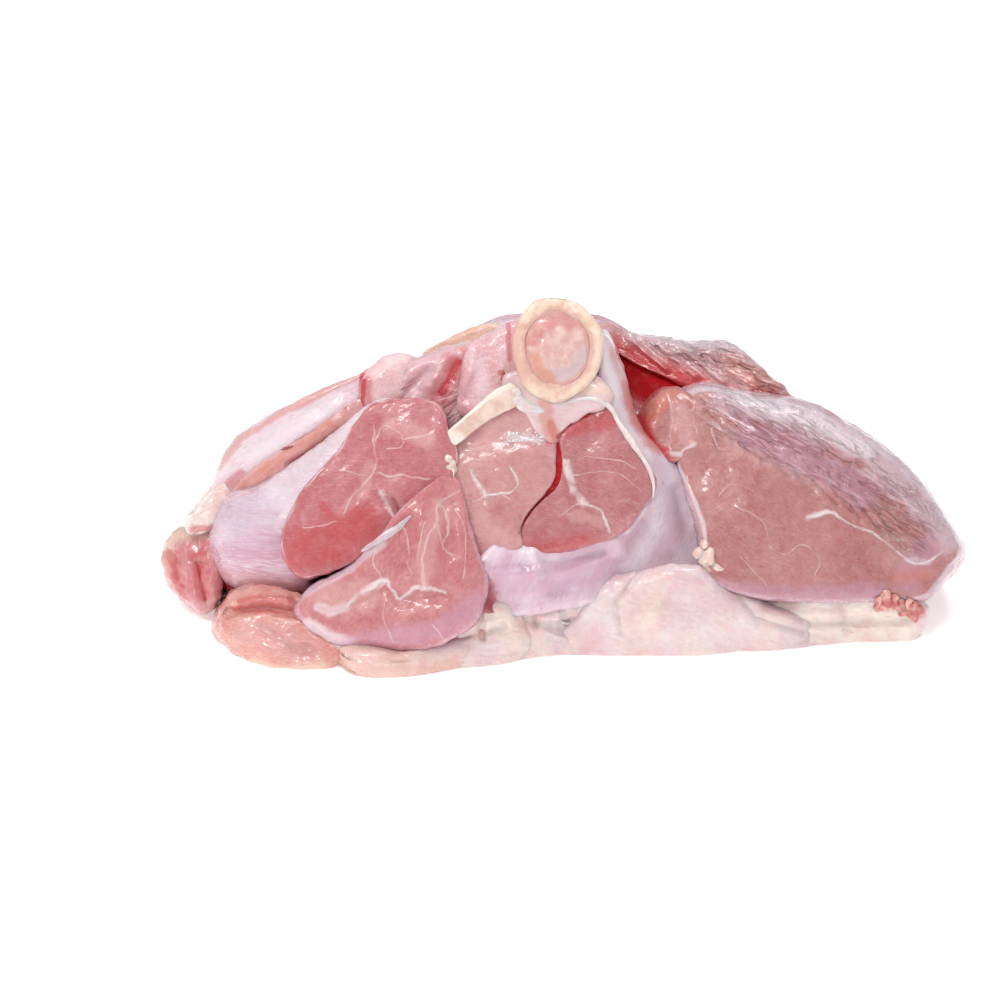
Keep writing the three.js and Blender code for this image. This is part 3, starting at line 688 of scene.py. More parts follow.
# The rump end on the right, one large muscle cut at a slant. Its upper edge is covered with grey film and
# dried into glossy wrinkles, a line of fascia crosses it, and small veins branch over it.
RUMP_WRINKLES = [(1.3, 1.2, [(62 + 9 * k, 68 - 5 * k), (74 + 9 * k, 58 - 5.6 * k)]) for k in range(7)]
RUMP_WRINKLES += [(1.0, -1.3, [(65 + 9 * k, 62 - 5 * k), (76 + 9 * k, 52 - 5.4 * k)]) for k in range(7)]
muscle("rump", [
    (42.4, 59), (43, 71), (48.5, 78.5), (58, 80), (71, 77), (91, 74), (110, 65), (127, 53), (140, 39),
    (150, 24), (152, 17), (144, 7), (135, 0), (112, -1), (82, 0), (63, 4), (54, 12), (50.6, 30), (45.4, 44),
    (42.6, 52)],
    face=56, rim=(3, 13, 12, 4), dome=5, tilt=(-0.1, -0.1), end_rim=22, cells=126, seed=120, skin_from=0.3,
    depth=0.3, rim_line=0.2, turn=0.55, cut=((190, 126, 124), (202, 146, 144)),
    skin=((202, 164, 174), (226, 204, 212)),
    ridges=[*RUMP_WRINKLES, (12, 2, [(70, 30), (96, 14)]), (10, -1.6, [(92, 34), (132, 16)])],
    marks={"film": [(7.5, [(62, 77), (75, 73), (97, 65), (116, 56), (133, 41), (146, 24)])],
        "wrinkled": [(13, [(62, 70), (82, 63), (102, 52), (122, 38), (132, 28)])],
        "violet": [(7, [(70, 63), (92, 53), (114, 40)]), (4, [(59.9, 4), (85.5, 2), (119.3, 3)]),
            (6, [(138, 20), (130, 8)])],
        "haze": [(5, [(64, 60), (80, 52), (98, 44)])],
        "fascia": [(0.5, [(91.6, 30.7), (94, 31), (101.2, 33), (105.8, 29.2), (116, 25.6), (125, 20),
            (134, 13.7), (144, 18)])],
        "white": [(1.2, [(92, 31), (99, 33)]), (1.2, [(130, 15), (138, 14)]),
            (0.9, [(40, 54), (45, 45.8), (49.6, 36.6), (52.4, 28.3), (54, 19)]),
            (4, [(68, 76), (92, 68), (114, 56)])],
        "vein": [(0.32, [(56, 64), (58, 57.6), (60, 56.6)]),
            (0.2, [(76, 20.6), (83.6, 17.6), (89, 20.6), (95, 15), (93.7, 9.3)]),
            (0.2, [(66.7, 15), (72.3, 11), (76, 5.5)]), (0.2, [(66, 34), (74, 30), (76, 24)]),
            (0.2, [(58, 40), (63, 44), (70, 42)])],
        "orange": [(3, [(127, 8), (136, 10)])]})

# The flap behind it, a fibrous sheet of meat that stands up over the hollow beside the bone.
skinned("flap", [
    (13, 103), (17, 106), (30, 101), (50, 99), (65, 99), (75, 90), (86, 80), (91, 75), (86, 72), (70, 74),
    (53, 80), (34, 87), (20, 95)],
    face=24, rim=(2, 7, 3, 2), tilt=(-0.1, -0.5), end_rim=8, cells=104, seed=130, along=(4, 4, 1), turn=0.35,
    lumps=1.3, gloss=0.28, cut=((184, 84, 82), (196, 112, 106)), skin=((198, 148, 150), (222, 188, 188)),
    ridges=[(1.6, 1.6, [(26 + 11 * k, 100 - 2.5 * k), (40 + 11 * k, 88 - 2.5 * k)]) for k in range(5)],
    marks={"wrinkled": [(7, [(46, 97), (62, 93), (80, 82)])],
        "blush": [(5, [(19, 98), (33, 91), (47, 85.5), (58, 81)]), (5, [(58, 80), (72, 77), (87, 74)])],
        "raw": [(4.5, [(20, 96), (33, 89), (46, 83), (55, 80)]), (1.8, [(68, 75), (82, 72.5), (91, 75)])],
        "orange": [(3.5, [(80, 73), (90, 75)]), (6, [(66, 90), (80, 82)])],
        "film": [(4, [(28, 103), (50, 99), (64, 98), (76, 90)])]})

# The small muscles along the top of the left half, between the shank and the neck chunk beside the ring.
# Their ends are cut at different levels, so each stands clear of its neighbours by a shadow.
skinned("neck", [
    (-39, 73), (-37, 84), (-34, 94), (-27, 99), (-19, 103), (-15, 97), (-16, 85), (-20, 79), (-29, 74),
    (-35, 70)],
    face=66, rim=(5, 5, 2, 4), dome=2, reach=0.6, cells=70, seed=140, grow=1.5, along=(1, 4, 2),
    skin=((234, 178, 184), (244, 212, 216)), depth=0.1,
    ridges=[(2.5, -1.5, [(-30, 98), (-32, 84), (-36, 76)])],
    marks={"blush": [(1.1, [(-20.6, 103), (-20.4, 97), (-20, 90)]),
            (1.5, [(-23.6, 85), (-21, 83), (-18.8, 81)])],
        "haze": [(3, [(-27, 94), (-26, 82)])]})
skinned("top_left", [
    (-75, 76), (-73, 84), (-67, 90), (-58, 91), (-57, 86), (-59, 78), (-64, 73), (-72, 71)],
    face=60, rim=(3, 5, 3, 3), dome=2, reach=0.9, cells=52, seed=150, grow=1.6,
    skin=((244, 198, 200), (250, 222, 222)), depth=0.15,
    marks={"raw": [(1.3, [(-75.6, 72), (-74.4, 82)])],
        "blush": [(2.4, [(-74, 73), (-73, 82)])]})
muscle("top_middle", [
    (-63, 74), (-60, 84), (-56, 89), (-46, 93), (-36, 96), (-32, 93), (-33, 81), (-38, 71), (-42, 60),
    (-47, 61), (-50, 70)],
    face=61, rim=(4, 6, 3, 3), dome=2, reach=0.96, cells=76, seed=160, grow=1.4, rim_line=0.2, depth=0.2,
    turn=-0.7, cut=((228, 180, 186), (236, 198, 204)), skin=((228, 184, 192), (240, 214, 220)),
    ridges=[(2, -1.5, [(-60, 76), (-50, 86)]), (2.5, 1.2, [(-44, 90), (-50, 80)])],
    marks={"raw": [(1.9, [(-39.3, 89), (-42.3, 83), (-45.3, 78)])],
        "blush": [(5.5, [(-40, 88), (-46, 76)])],
        "vein": [(0.25, [(-62, 78), (-52, 84), (-44, 90)]), (0.25, [(-48, 74), (-40, 76), (-36, 80)])],
        "orange": [(1.6, [(-37.5, 93), (-34, 90.7)])],
        "wrinkled": [(6, [(-46, 66), (-38, 78)])]})
skinned("top_edge", [
    (-53, 93), (-47, 98), (-38, 101), (-27, 104), (-24, 102), (-29, 97), (-40, 90), (-48, 88)],
    face=32, reach=0.93, cells=44, seed=170, skin=((236, 184, 158), (244, 212, 190)), depth=0.1)
skinned("strip_back", [
    (-132, 42), (-127, 53), (-120, 62), (-109, 69), (-97, 76), (-84, 82), (-72, 88), (-68, 80), (-81, 72),
    (-96, 64), (-112, 54), (-123, 44)],
    face=30, rim=(6, 5, 3, 3), tilt=(0.15, 0.1), cells=52, seed=180, skin=((224, 150, 138), (236, 184, 170)),
    depth=0.1)
skinned("strip_top", [
    (-134, 40), (-130, 51), (-123, 62), (-113, 69), (-99, 75), (-82, 82), (-72, 86), (-71, 80), (-76, 72.5),
    (-88, 67), (-102, 58), (-114, 50), (-123, 42), (-129, 37)],
    face=46, rim=(8, 4, 3, 3), dome=3, tilt=(0.25, 0.1), reach=0.96, cells=76, seed=190, along=(12, 8, 1),
    turn=-0.6, skin=((238, 194, 204), (250, 230, 238)), gloss=0.27, wet=0.4,
    ridges=[(3, -1.2, [(-124, 52), (-108, 64), (-92, 72)]), (4, 1.6, [(-118, 50), (-100, 62), (-84, 72)])],
    marks={"white": [(5, [(-116, 56), (-100, 66), (-90, 72)])],
        "blush": [(3, [(-130, 40), (-122, 47)])],
        "orange": [(1.8, [(-131, 50), (-122, 61), (-108, 70), (-90, 78), (-76, 85)])],
        "raw": [(1.6, [(-75, 85), (-75.4, 79), (-75.6, 74)])]})
skinned("strip_low", [
    (-128, 36), (-120, 47), (-106, 56), (-93, 64), (-82, 72), (-74, 77), (-70, 72), (-78, 62), (-93, 52),
    (-106, 43), (-118, 37)],
    face=52, rim=(5, 3, 3, 3), dome=3, tilt=(0.25, 0.1), reach=0.9, cells=70, seed=200, grow=1.6,
    along=(9, 8, 1), turn=-0.6, skin=((216, 146, 142), (234, 184, 182)), depth=0.2,
    ridges=[(3.5, 2.2, [(-114, 46), (-98, 57.5), (-84, 68)]),
        (1.2, -1.6, [(-103, 51), (-92, 57), (-82, 64)])],
    marks={"orange": [(3.5, [(-120, 42), (-104, 55), (-88, 66)])],
        "haze": [(2.5, [(-98, 51), (-84, 61)])],
        # painted shade: a thin red line in the crease along the roll
        "blush": [(1.4, [(-102, 51.5), (-92, 57.5), (-83, 64)])],
        "slit": [(0.45, [(-107, 57.2), (-104.6, 56.6), (-102, 58)])],
        "raw": [(1.5, [(-85.5, 73.6), (-82, 73)])]})

# The two ends that lie lowest on the left: the salmon heel under the shank, and the tail at the far left
# with the scrap of cream fat above it.
skinned("heel", [
    (-131, -10), (-127, -1), (-120, 3), (-109, 4), (-97, 1), (-88, -5), (-82, -14), (-83, -21), (-91, -25),
    (-106, -26), (-119, -22), (-127, -17)],
    face=66, rim=(9, 3, 4, 6), dome=2, tilt=(0.2, -0.15), cells=84, seed=210, grow=1.6, lumps=1.8,
    along=(4, 4, 1), turn=0.2, gloss=0.24, wet=0.5, skin=((224, 144, 132), (238, 178, 166)), depth=0.2,
    ridges=[(1.5, -3.5, [(-126, -5), (-112, -2.6), (-98, -5)]), (3, 2.5, [(-122, 0), (-104, 1)]),
        (2, -2, [(-112, -10), (-104, -16), (-94, -18)]), (5, 2, [(-118, -14), (-108, -18)])],
    marks={"blush": [(2.6, [(-121, 0), (-112, 1), (-102, 0)]),
            (2.0, [(-117, -3.4), (-109, -2.6), (-102, -3.6)]), (1.2, [(-124, -4), (-106, -2.6)])],
        "white": [(3, [(-94, -8), (-87, -12), (-82, -16)])],
        # painted sheen: a pale patch across the middle of the heel
        "haze": [(6, [(-118, -12), (-104, -15), (-94, -17)])],
        "cream": [(2.2, [(-116, -23), (-102, -26), (-90, -24)])]})
skinned("tail", [
    (-154, 12), (-151, 20), (-146, 27), (-138, 29), (-132, 24), (-130, 11), (-131, 1), (-137, -5),
    (-144, -2), (-151, 5)],
    face=30, rim=(9, 8, 4, 8), dome=3, tilt=(0.6, 0), cells=64, seed=220, grow=0.5, lumps=1.9,
    along=(2, 6, 6), skin=((212, 124, 124), (230, 168, 170)), gloss=0.24, wet=0.5, depth=0.2,
    ridges=[(2.4, -2.6, [(-138.6, 13), (-137.4, 7), (-136, 0)]), (2, -1.4, [(-148, 18), (-144, 6)])],
    marks={"raw": [(1.3, [(-138.6, 12), (-137.4, 7), (-136, 0)])],
        "blush": [(4, [(-139, 16), (-137, 2)]), (5, [(-148, 14), (-144, 4)])],
        "cream": [(5, [(-153, 14), (-150, 22), (-144, 27), (-136, 27)])]})
skinned("scrap", [
    (-139, 37), (-135, 42), (-129, 43), (-126.5, 37.5), (-129, 30), (-135, 24.6), (-141, 24), (-144, 28)],
    face=40, rim=(4, 4, 3, 4), dome=1, reach=0.5, cells=44, seed=230, lumps=2.2, along=(3, 4, 3),
    skin=((240, 206, 196), (250, 234, 226)),
    marks={"blush": [(2, [(-141, 26), (-134, 26)])],
        "haze": [(4, [(-130, 32), (-130, 40)])]})

# The marrow bone: a sawn tube of cream bone that stands a little proud of the meat, spun from its section
# and then pressed oval. Its far end sinks towards the middle of the joint.
RING_CENTRE = (-2.5, 93.5)
RING_OUTSIDE, RING_BORE = (16.5, 19.5), (11.8, 13.8)
BONE_FACE, BONE_SINK, BONE_REACH = 80, 14, 1.02
BONE_RIM, INNER_RIM = 1.6, 0.3
BONE_GRAIN_LENGTH = 150                 # over which the fine unevenness runs along the bone


def along_bone(x, v, share):
    """Points of the bone from their places on the ring and the share of the way to its far end."""
    far = BONE_FACE + (rear_at(x, v - BONE_SINK) - BONE_FACE) * BONE_REACH
    return from_face(x, v - BONE_SINK * share**2, BONE_FACE + (far - BONE_FACE) * share)


def bone_material():
    made = Finish("bone", roughness=0.45, coat=0.25, scatter=2.4, scatter_colour=(1.0, 0.7, 0.5))
    colour = made.clouded(rgb(244, 212, 192), rgb(252, 234, 218), size=6, low=0.3)
    colour = made.mix(made.step(made.noise(9, shift=4), 0.45, 0.7) * 0.5, colour, rgb(244, 214, 190))
    blood = made.step(made.noise(4, detail=5, shift=8), 0.48, 0.72)
    colour = made.mix(blood * 0.5, colour, rgb(226, 156, 142))
    inner = 1 - made.step(made.attribute("wall") + (made.noise(3, detail=4) - 0.5) * 0.8, 0.05, 0.5)
    colour = made.mix(inner * 0.75, colour, rgb(228, 172, 162))
    spread = (made.noise(4, detail=4, shift=14) - 0.5) * 0.8
    colour = made.patch(colour, "rosy", rgb(224, 168, 156), 0.6, spread, high=1)
    return made.grained(colour, 0.42, size=0.9, relief=0.3)


def face_outwards(data):
    """Turns all the faces of the mesh outwards."""
    mesh = bmesh.new()
    mesh.from_mesh(data)
    bmesh.ops.recalc_face_normals(mesh, faces=mesh.faces)
    mesh.to_mesh(data)
    mesh.free()


def marrow_bone(around=144, wall_cells=14, length_cells=60):
    mesh = bmesh.new()
    share = np.linspace(0, 1, length_cells)
    section = [(r, 0) for r in np.linspace(0, 1, wall_cells)][:-1] + [(1, s) for s in share][:-1]
    section += [(r, 1) for r in np.linspace(1, 0, wall_cells)][:-1] + [(0, s) for s in share[::-1]][:-1]
    verts = [mesh.verts.new((1 + r, 0, s)) for r, s in section]
    edges = [mesh.edges.new(pair) for pair in zip(verts, verts[1:] + verts[:1])]
    bmesh.ops.spin(mesh, geom=verts + edges, cent=(0, 0, 0), axis=(0, 0, 1), dvec=(0, 0, 0),
                   angle=2 * math.pi, steps=around, use_merge=True)
    data = mesh_data(mesh, "marrow_bone")
    x, y, share = points_of(data).astype(float).T
    turn = np.arctan2(y, x)
    wall = np.hypot(x, y) - 1
    wall_middle = np.abs(wall - 0.5) * 2
    outside = np.array(RING_OUTSIDE) * (1 + 0.02 * np.sin(3 * turn + 1) + 0.012 * np.sin(7 * turn))[:, None]
    bore = np.array(RING_BORE) * (1 + 0.03 * np.sin(2 * turn + 2) + 0.02 * np.sin(5 * turn))[:, None]
    across = bore + (outside - bore) * wall[:, None]
    end = (np.minimum(share, 1 - share) < 1e-6) * wall_middle**4 * np.where(wall > 0.5, BONE_RIM, INNER_RIM)
    length = BONE_FACE - rear_at(*RING_CENTRE)
    share = np.where(share < 0.5, share + end / length, share - end / length)
    place_x = RING_CENTRE[0] + across[:, 0] * np.cos(turn)
    place_v = RING_CENTRE[1] + across[:, 1] * np.sin(turn)
    set_points(data, along_bone(place_x, place_v, share))
    face_outwards(data)
    places = np.column_stack([place_x, place_v, share * BONE_GRAIN_LENGTH])
    raise_surface(data, 0.4 * unevenness(places, 7, 300) + 0.15 * unevenness(places, 2, 301))
    keep_field(data, "wall", wall)
    keep_patch(data, places[:, :2], "rosy", [(5, [(-18, 101), (-19, 92), (-16, 84)])])
    add_piece(data, bone_material(), "marrow_bone")


marrow_bone()

# The marrow that fills the bone, soft and pink, with a raised pale disc in the middle of its cut.
DISC_CENTRE, DISC_RADII = (-3.0, 93.6), (8.6, 8.8)
DISC_RISE, DISC_STEEPNESS, MARROW_SINK = 0.9, 9, 0.25
MARROW_FILL = 1.05                    # the marrow reaches a little into the wall, so that no gap shows
SHARP_RIM = 0.01


def oval(share, turns):
    """Points at those turns on an oval that is so large a share of the bone's bore."""
    (x, v), (wide, high) = RING_CENTRE, RING_BORE
    return [(x + share * wide * math.cos(turn), v + share * high * math.sin(turn)) for turn in turns]


def marrow_material():
    made = Finish("marrow", roughness=0.35, coat=0.4, scatter=3.0, scatter_colour=(1.0, 0.5, 0.4))
    colour = made.clouded(rgb(228, 180, 172), rgb(242, 210, 202), size=3.5, detail=5)
    spread = (made.noise(3, detail=5, shift=6) - 0.5) * 1.2
    for kind, tint in {"upper": rgb(220, 144, 142), "lower": rgb(216, 196, 202),
                       "orange": rgb(226, 156, 134), "edge_tint": rgb(226, 164, 154)}.items():
        colour = made.patch(colour, kind, tint, 0.75, spread)
    return made.grained(colour, 0.36, size=1.2, relief=0.25)


def marrow(cells=48):
    outline = oval(MARROW_FILL, np.linspace(math.pi, -math.pi, 12, endpoint=False))
    rims = (SHARP_RIM, SHARP_RIM)
    data, across, share, _ = closed_body("marrow", outline, near=1, far=0, rims=rims, swell=0, cells=cells)
    share = 1 - share
    disc = np.hypot(*((across - DISC_CENTRE) / DISC_RADII).T)
    raised = DISC_RISE / (1 + np.exp((disc - 1) * DISC_STEEPNESS)) - MARROW_SINK
    length = BONE_FACE - rear_at(*RING_CENTRE)
    share = np.clip(share, 0, 1) + np.where(share < 0.5, -raised / length, raised / length)
    set_points(data, along_bone(*across.T, share))
    places = np.column_stack([across, share * BONE_GRAIN_LENGTH])
    raise_surface(data, 0.3 * unevenness(places, 4, 310) + 0.12 * unevenness(places, 1.6, 311))
    tints = {"upper": (3.2, [(-11, 96), (-8, 101.5), (-2, 104), (3, 103)]),
             "lower": (3.2, [(-4, 83.5), (2, 84), (6.5, 88), (8, 93)]),
             "orange": (2.6, [(-11, 90), (-9, 85.5), (-5, 82)]),
             "edge_tint": (1.6, oval(1, np.linspace(0, 2 * math.pi, 25)))}
    for kind, line in tints.items():
        keep_patch(data, across, kind, [line])
    add_piece(data, marrow_material(), "marrow")


marrow()

# The edge of the flat blade bone, sawn through beside the ring: a cream-grey bar with a bright gristly end.
BLADE = [
    (-43.2, 61.9), (-42.1, 63.8), (-35.4, 69.7), (-27.7, 76.4), (-22.5, 79.7), (-18.8, 81.2), (-15.8, 77.5),
    (-16.6, 73), (-22.1, 70.1), (-27.3, 66.7), (-33.2, 63), (-38.4, 58.6), (-41.4, 57.9)]
BLADE_FACE, BLADE_REACH = 78, 0.5      # it reaches so large a share of the way to the rear cut
blade_data, blade_across, blade_w, _ = closed_body(
    "blade_bone", BLADE, near=BLADE_FACE,
    far=lambda places: BLADE_FACE * (1 - BLADE_REACH) + BLADE_REACH * rear_at(*places.T),
    rims=(1.5, 3), swell=-0.02, cells=50)
set_points(blade_data, from_face(*blade_across.T, blade_w))
blade_places = np.column_stack([blade_across, blade_w])
blade_relief = 0.35 * unevenness(blade_places, 6, 320) + 0.12 * unevenness(blade_places, 1.5, 321)
raise_surface(blade_data, blade_relief)


def blade_material():
    made = Finish("blade", roughness=0.42, coat=0.3, scatter=1.6, scatter_colour=(1.0, 0.75, 0.6))
    colour = made.clouded(rgb(230, 196, 180), rgb(246, 224, 210), size=4)
    spread = (made.noise(3, detail=4, shift=3) - 0.5) * 0.8
    colour = made.patch(colour, "cap", rgb(252, 244, 236), 0.8, spread, high=0.8)
    return made.grained(colour, 0.4, size=0.8, relief=0.3)


BLADE_CAP = [(3.5, [(-43, 60), (-39, 60)]), (1.2, [(-42, 64), (-30, 74), (-20, 80)])]
keep_patch(blade_data, blade_across, "cap", BLADE_CAP)
add_piece(blade_data, blade_material(), "blade_bone")

# The layer of fat that the joint lies on: a soft pale sheet whose front edge bulges out in three rolls.
FAT_OUTLINE = [
    (-84, -74), (-76, -83), (-58, -83), (-42, -76), (-30, -70), (-18, -60), (0, -57), (28, -56), (48, -47),
    (64, -43), (86, -45), (112, -46), (132, -40), (139, -20), (136, 0), (116, 36), (60, 56), (-30, 58),
    (-96, 42), (-120, 16), (-108, -30), (-92, -56)]
FAT_ROLLS = ((-64, 30, 11), (30, 34, 29), (105, 36, 13))          # place along x, width and height of each
FAT_REAR_HEIGHT, FAT_CREASE_DEPTH = 10, 2.0
FAT_CREASES = [(1.6, [(-26, -70), (-20, -52)]), (1.2, [(0, -60), (4, -40)]), (1.6, [(56, -52), (66, -34)])]


def fat_height(across):
    """How high the layer of fat is over those places of its footprint."""
    x, y = across.T
    weights = [np.exp(-(((x - place) / width) ** 2)) for place, width, _ in FAT_ROLLS]
    front = sum(weight * height for weight, (_, _, height) in zip(weights, FAT_ROLLS)) / sum(weights)
    forward = np.clip((-y + 10) / 50, 0, 1)
    forward = forward * forward * (3 - 2 * forward)
    return FAT_REAR_HEIGHT + (front - FAT_REAR_HEIGHT) * forward


def fat_material(cream, tint):
    """Moist pale fat, veined and clouded. cream is how strong its patches of the tint are."""
    made = Finish("fat", roughness=0.3, coat=0.4, scatter=2.5, scatter_colour=(1.0, 0.62, 0.5))
    colour = made.clouded(rgb(232, 204, 207), rgb(240, 226, 228), size=14, low=0.3)
    yellowish = made.step(made.noise(24, detail=3, shift=6), 0.42, 0.62)
    colour = made.mix(yellowish * cream, colour, rgb(*tint))
    pink = made.step(made.noise(7, detail=6, shift=11), 0.48, 0.7)
    ragged = (made.noise(5, detail=5, shift=19) - 0.5) * 0.9
    # peach and bloody are stains of the fat. The light patch is painted light: it brightens fat that lies in
    # shade.
    for kind, stain in {"peach": rgb(240, 194, 174), "light": rgb(255, 240, 228),
                        "bloody": rgb(208, 92, 90)}.items():
        colour = made.patch(colour, kind, stain, 0.7, ragged)
    colour = made.mix(pink * 0.3, colour, rgb(234, 170, 176))
    threads = made.noise(1.1, stretch=(4, 3, 1), detail=5, shift=15, turn=0.3)
    colour = made.mix(made.step(threads, 0.5, 0.72) * 0.25, colour, rgb(254, 246, 246))
    colour = made.mix((1 - made.step(threads, 0.3, 0.46)) * 0.2, colour, rgb(224, 164, 168))
    return made.grained(colour, 0.26, size=2.2, relief=0.45, detail=5, more=threads * 0.12)


fat_data, fat_across, fat_up, _ = closed_body("fat_layer", FAT_OUTLINE, near=fat_height, far=0, rims=(5, 2),
                                              swell=0, cells=102)
fat_places = np.column_stack([fat_across, fat_up])
set_points(fat_data, (fat_places - (*MIDDLE, 0)) * MM)
fat_relief = 1.2 * unevenness(fat_places, 18, 330) + 0.7 * unevenness(fat_places, 7, 331)
fat_relief += 0.15 * unevenness(fat_places, 2.5, 332)
for crease_width, crease in FAT_CREASES:
    fat_relief -= FAT_CREASE_DEPTH * np.exp(-((distance_to_line(fat_across, crease) / crease_width) ** 2))
raise_surface(fat_data, fat_relief * np.clip(fat_up / 3, 0, 1))
keep_patch(fat_data, fat_across, "peach", [(16, [(-86, -62), (-64, -80)])])
cut_level(fat_data, 0)
add_piece(fat_data, fat_material(cream=1, tint=(238, 196, 178)), "fat_layer")

# Soft lobes in which the fat bulges out from under the muscles, pressed together so that creases part them.
# They are of the same fat as the layer.
def fat_lobe(name, outline, cream=0.5, tint=(250, 228, 208), **form):
    """One lobe, formed like the muscles."""
    data = bundle(name, outline, reach=0.25, swell=0, **form)
    add_piece(data, fat_material(cream, tint), "fat_layer")


fat_lobe("fat_roll", [
    (-6, -14), (2, -2), (12, 7), (30, 11), (50, 12), (64, 6), (82, -2), (96, -8), (92, -22), (40, -27),
    (2, -24)],
    face=59, tilt=(-0.06, 0.3), dome=4, rim=(12, 7, 16, 3), cells=96, lumps=1.5, seed=500,
    ridges=[(1.3, -1.6, [(30, 12), (20, 0), (22, -12)]), (1.3, -1.4, [(60, 8), (72, -6), (90, -12)])])
# Its paler tint and its light patch are painted light, brightening the fat in the shade under the rump.
fat_lobe("fat_right", [
    (52, -8), (66, 1), (86, 2.5), (112, 2), (130, 3), (138, -3), (136, -14), (128, -24), (60, -26)],
    cream=0.95, tint=(255, 242, 226), face=49, tilt=(-0.05, 0.3), dome=3, rim=(12, 4, 7, 3), cells=90,
    lumps=1.7, seed=510,
    ridges=[(1.6, -1.8, [(62, -2), (90, -9), (130, -8)]), (1.2, -1.2, [(104, 2), (108, -12)])],
    marks={"light": [(11, [(82, -6), (104, -8), (128, -9)])],
        "bloody": [(2.6, [(120, 1), (130, 0), (135, -5)])]})
fat_lobe("fat_crease", [
    (-26, -12), (-20, -1), (-8, 4), (6, 5), (16, 0), (18, -14), (8, -26), (-20, -28)],
    face=62, tilt=(-0.15, 0.3), dome=2, rim=(7, 5, 9, 3), cells=72, lumps=2.0, seed=520,
    ridges=[(1.2, -2, [(-14, 3), (-10, -10)]), (1.2, -2, [(-4, 4), (2, -8)]),
        (1.5, -2, [(-20, -6), (4, -12)])])
fat_lobe("fat_left", [
    (-42, -14), (-36, -4), (-29, 0), (-22, 0), (-14, -8), (-12, -18), (-22, -30), (-40, -30)],
    face=70, tilt=(-0.25, 0.3), dome=2, rim=(6, 5, 8, 3), cells=60, lumps=2.0, seed=530,
    ridges=[(1.2, -2, [(-32, -1), (-30, -14)]), (1.5, -1.5, [(-40, -14), (-22, -10)])])

# Ribbons of tough white fascia that lie on the cut, and small soft scraps of fat and meat left by the saw.
def level_under(hosts, spots, reach=1.3):
    """The w of the highest surface of the hosts under each spot of the sawn face."""
    points = [points_of(bpy.data.objects[host].data) / MM + (*MIDDLE, 0) for host in hosts]
    x, y, z = np.vstack(points).T
    v, w = y * SIN + z * COS, z * SIN - y * COS
    gaps = [(x - spot_x) ** 2 + (v - spot_v) ** 2 for spot_x, spot_v in spots]
    return np.array([w[gap <= max(reach**2, 2 * gap.min())].max() for gap in gaps])


def soft_material(name, first, second):
    made = Finish(name, roughness=0.3, coat=0.4, scatter=2.0, scatter_colour=(1.0, 0.6, 0.5))
    return made.grained(made.clouded(rgb(*first), rgb(*second), size=3), 0.3, size=0.9, relief=0.25)


def strand(name, line, half_width, hosts, material, seed, rise=0.25, steps=70, sides=16):
    """A raised ribbon along a line of the sawn face, flattened, tapered at its ends and closed."""
    line = np.array(line, float)
    run = np.concatenate([[0], np.cumsum(np.linalg.norm(np.diff(line, axis=0), axis=1))])
    mesh = bmesh.new()
    bmesh.ops.create_grid(mesh, x_segments=steps, y_segments=sides, size=1)
    sheet = np.array([vertex.co[:2] for vertex in mesh.verts])
    share, turn = (sheet[:, 0] + 1) / 2, (sheet[:, 1] + 1) * math.pi

    def course(share):
        rounded = sum(np.stack([np.interp((share + shift) * run[-1], run, line[:, i]) for i in (0, 1)], 1)
                      for shift in (-0.03, 0, 0.03)) / 3
        return rounded + 0.25 * half_width * unevenness(rounded, 5, seed)[:, None]

    stops = np.linspace(0, 1, steps + 1)
    levels = level_under(hosts, course(stops))
    levels = np.convolve(np.pad(levels, 3, "edge"), np.ones(7) / 7, "valid")
    spot, ahead = course(share), course(share + 0.01)
    along = (ahead - spot) / np.maximum(np.linalg.norm(ahead - spot, axis=1), 1e-6)[:, None]
    across = np.stack([-along[:, 1], along[:, 0]], 1)
    width = half_width * np.sqrt(np.clip(np.sin(math.pi * share), 0, 1))
    width = width * (1 + 0.3 * unevenness(spot, 4, seed + 1))
    spot = spot + across * (width * np.cos(turn))[:, None]
    w = np.interp(share, stops, levels) + rise * (width / half_width) * (1.6 * np.sin(turn) - 0.6)
    for vertex, point in zip(mesh.verts, from_face(*spot.T, w)):
        vertex.co = point
    bmesh.ops.remove_doubles(mesh, verts=mesh.verts, dist=2e-6)
    bmesh.ops.recalc_face_normals(mesh, faces=mesh.faces)
    add_piece(mesh_data(mesh, name), material, "meat")


def scraps(name, spots, hosts, material, seed):
    """Small soft lumps on the hosts, each with its place on the sawn face, its radius and its rise."""
    draw = np.random.default_rng(seed)
    levels = level_under(hosts, [spot[:2] for spot in spots])
    mesh = bmesh.new()
    for (x, v, radius, rise), level in zip(spots, levels):
        place = Vector(from_face(x, v, level + rise - radius * 0.5).tolist())
        spin = Matrix.Rotation(draw.uniform(0, math.pi), 4, Vector(draw.normal(size=3)))
        sides = Matrix.Diagonal((*(radius * MM * draw.uniform(0.45, 1.3, 3)), 1))
        shape = Matrix.Translation(place) @ spin @ sides
        bmesh.ops.create_icosphere(mesh, subdivisions=3, radius=1, matrix=shape)
    data = mesh_data(mesh, name)
    places = points_of(data).astype(float) / MM
    radii = np.repeat([spot[2] for spot in spots], len(data.vertices) // len(spots))
    raise_surface(data, 0.2 * radii * (unevenness(places, 3, seed) + unevenness(places, 1.2, seed + 1)))
    add_piece(data, material, "meat")


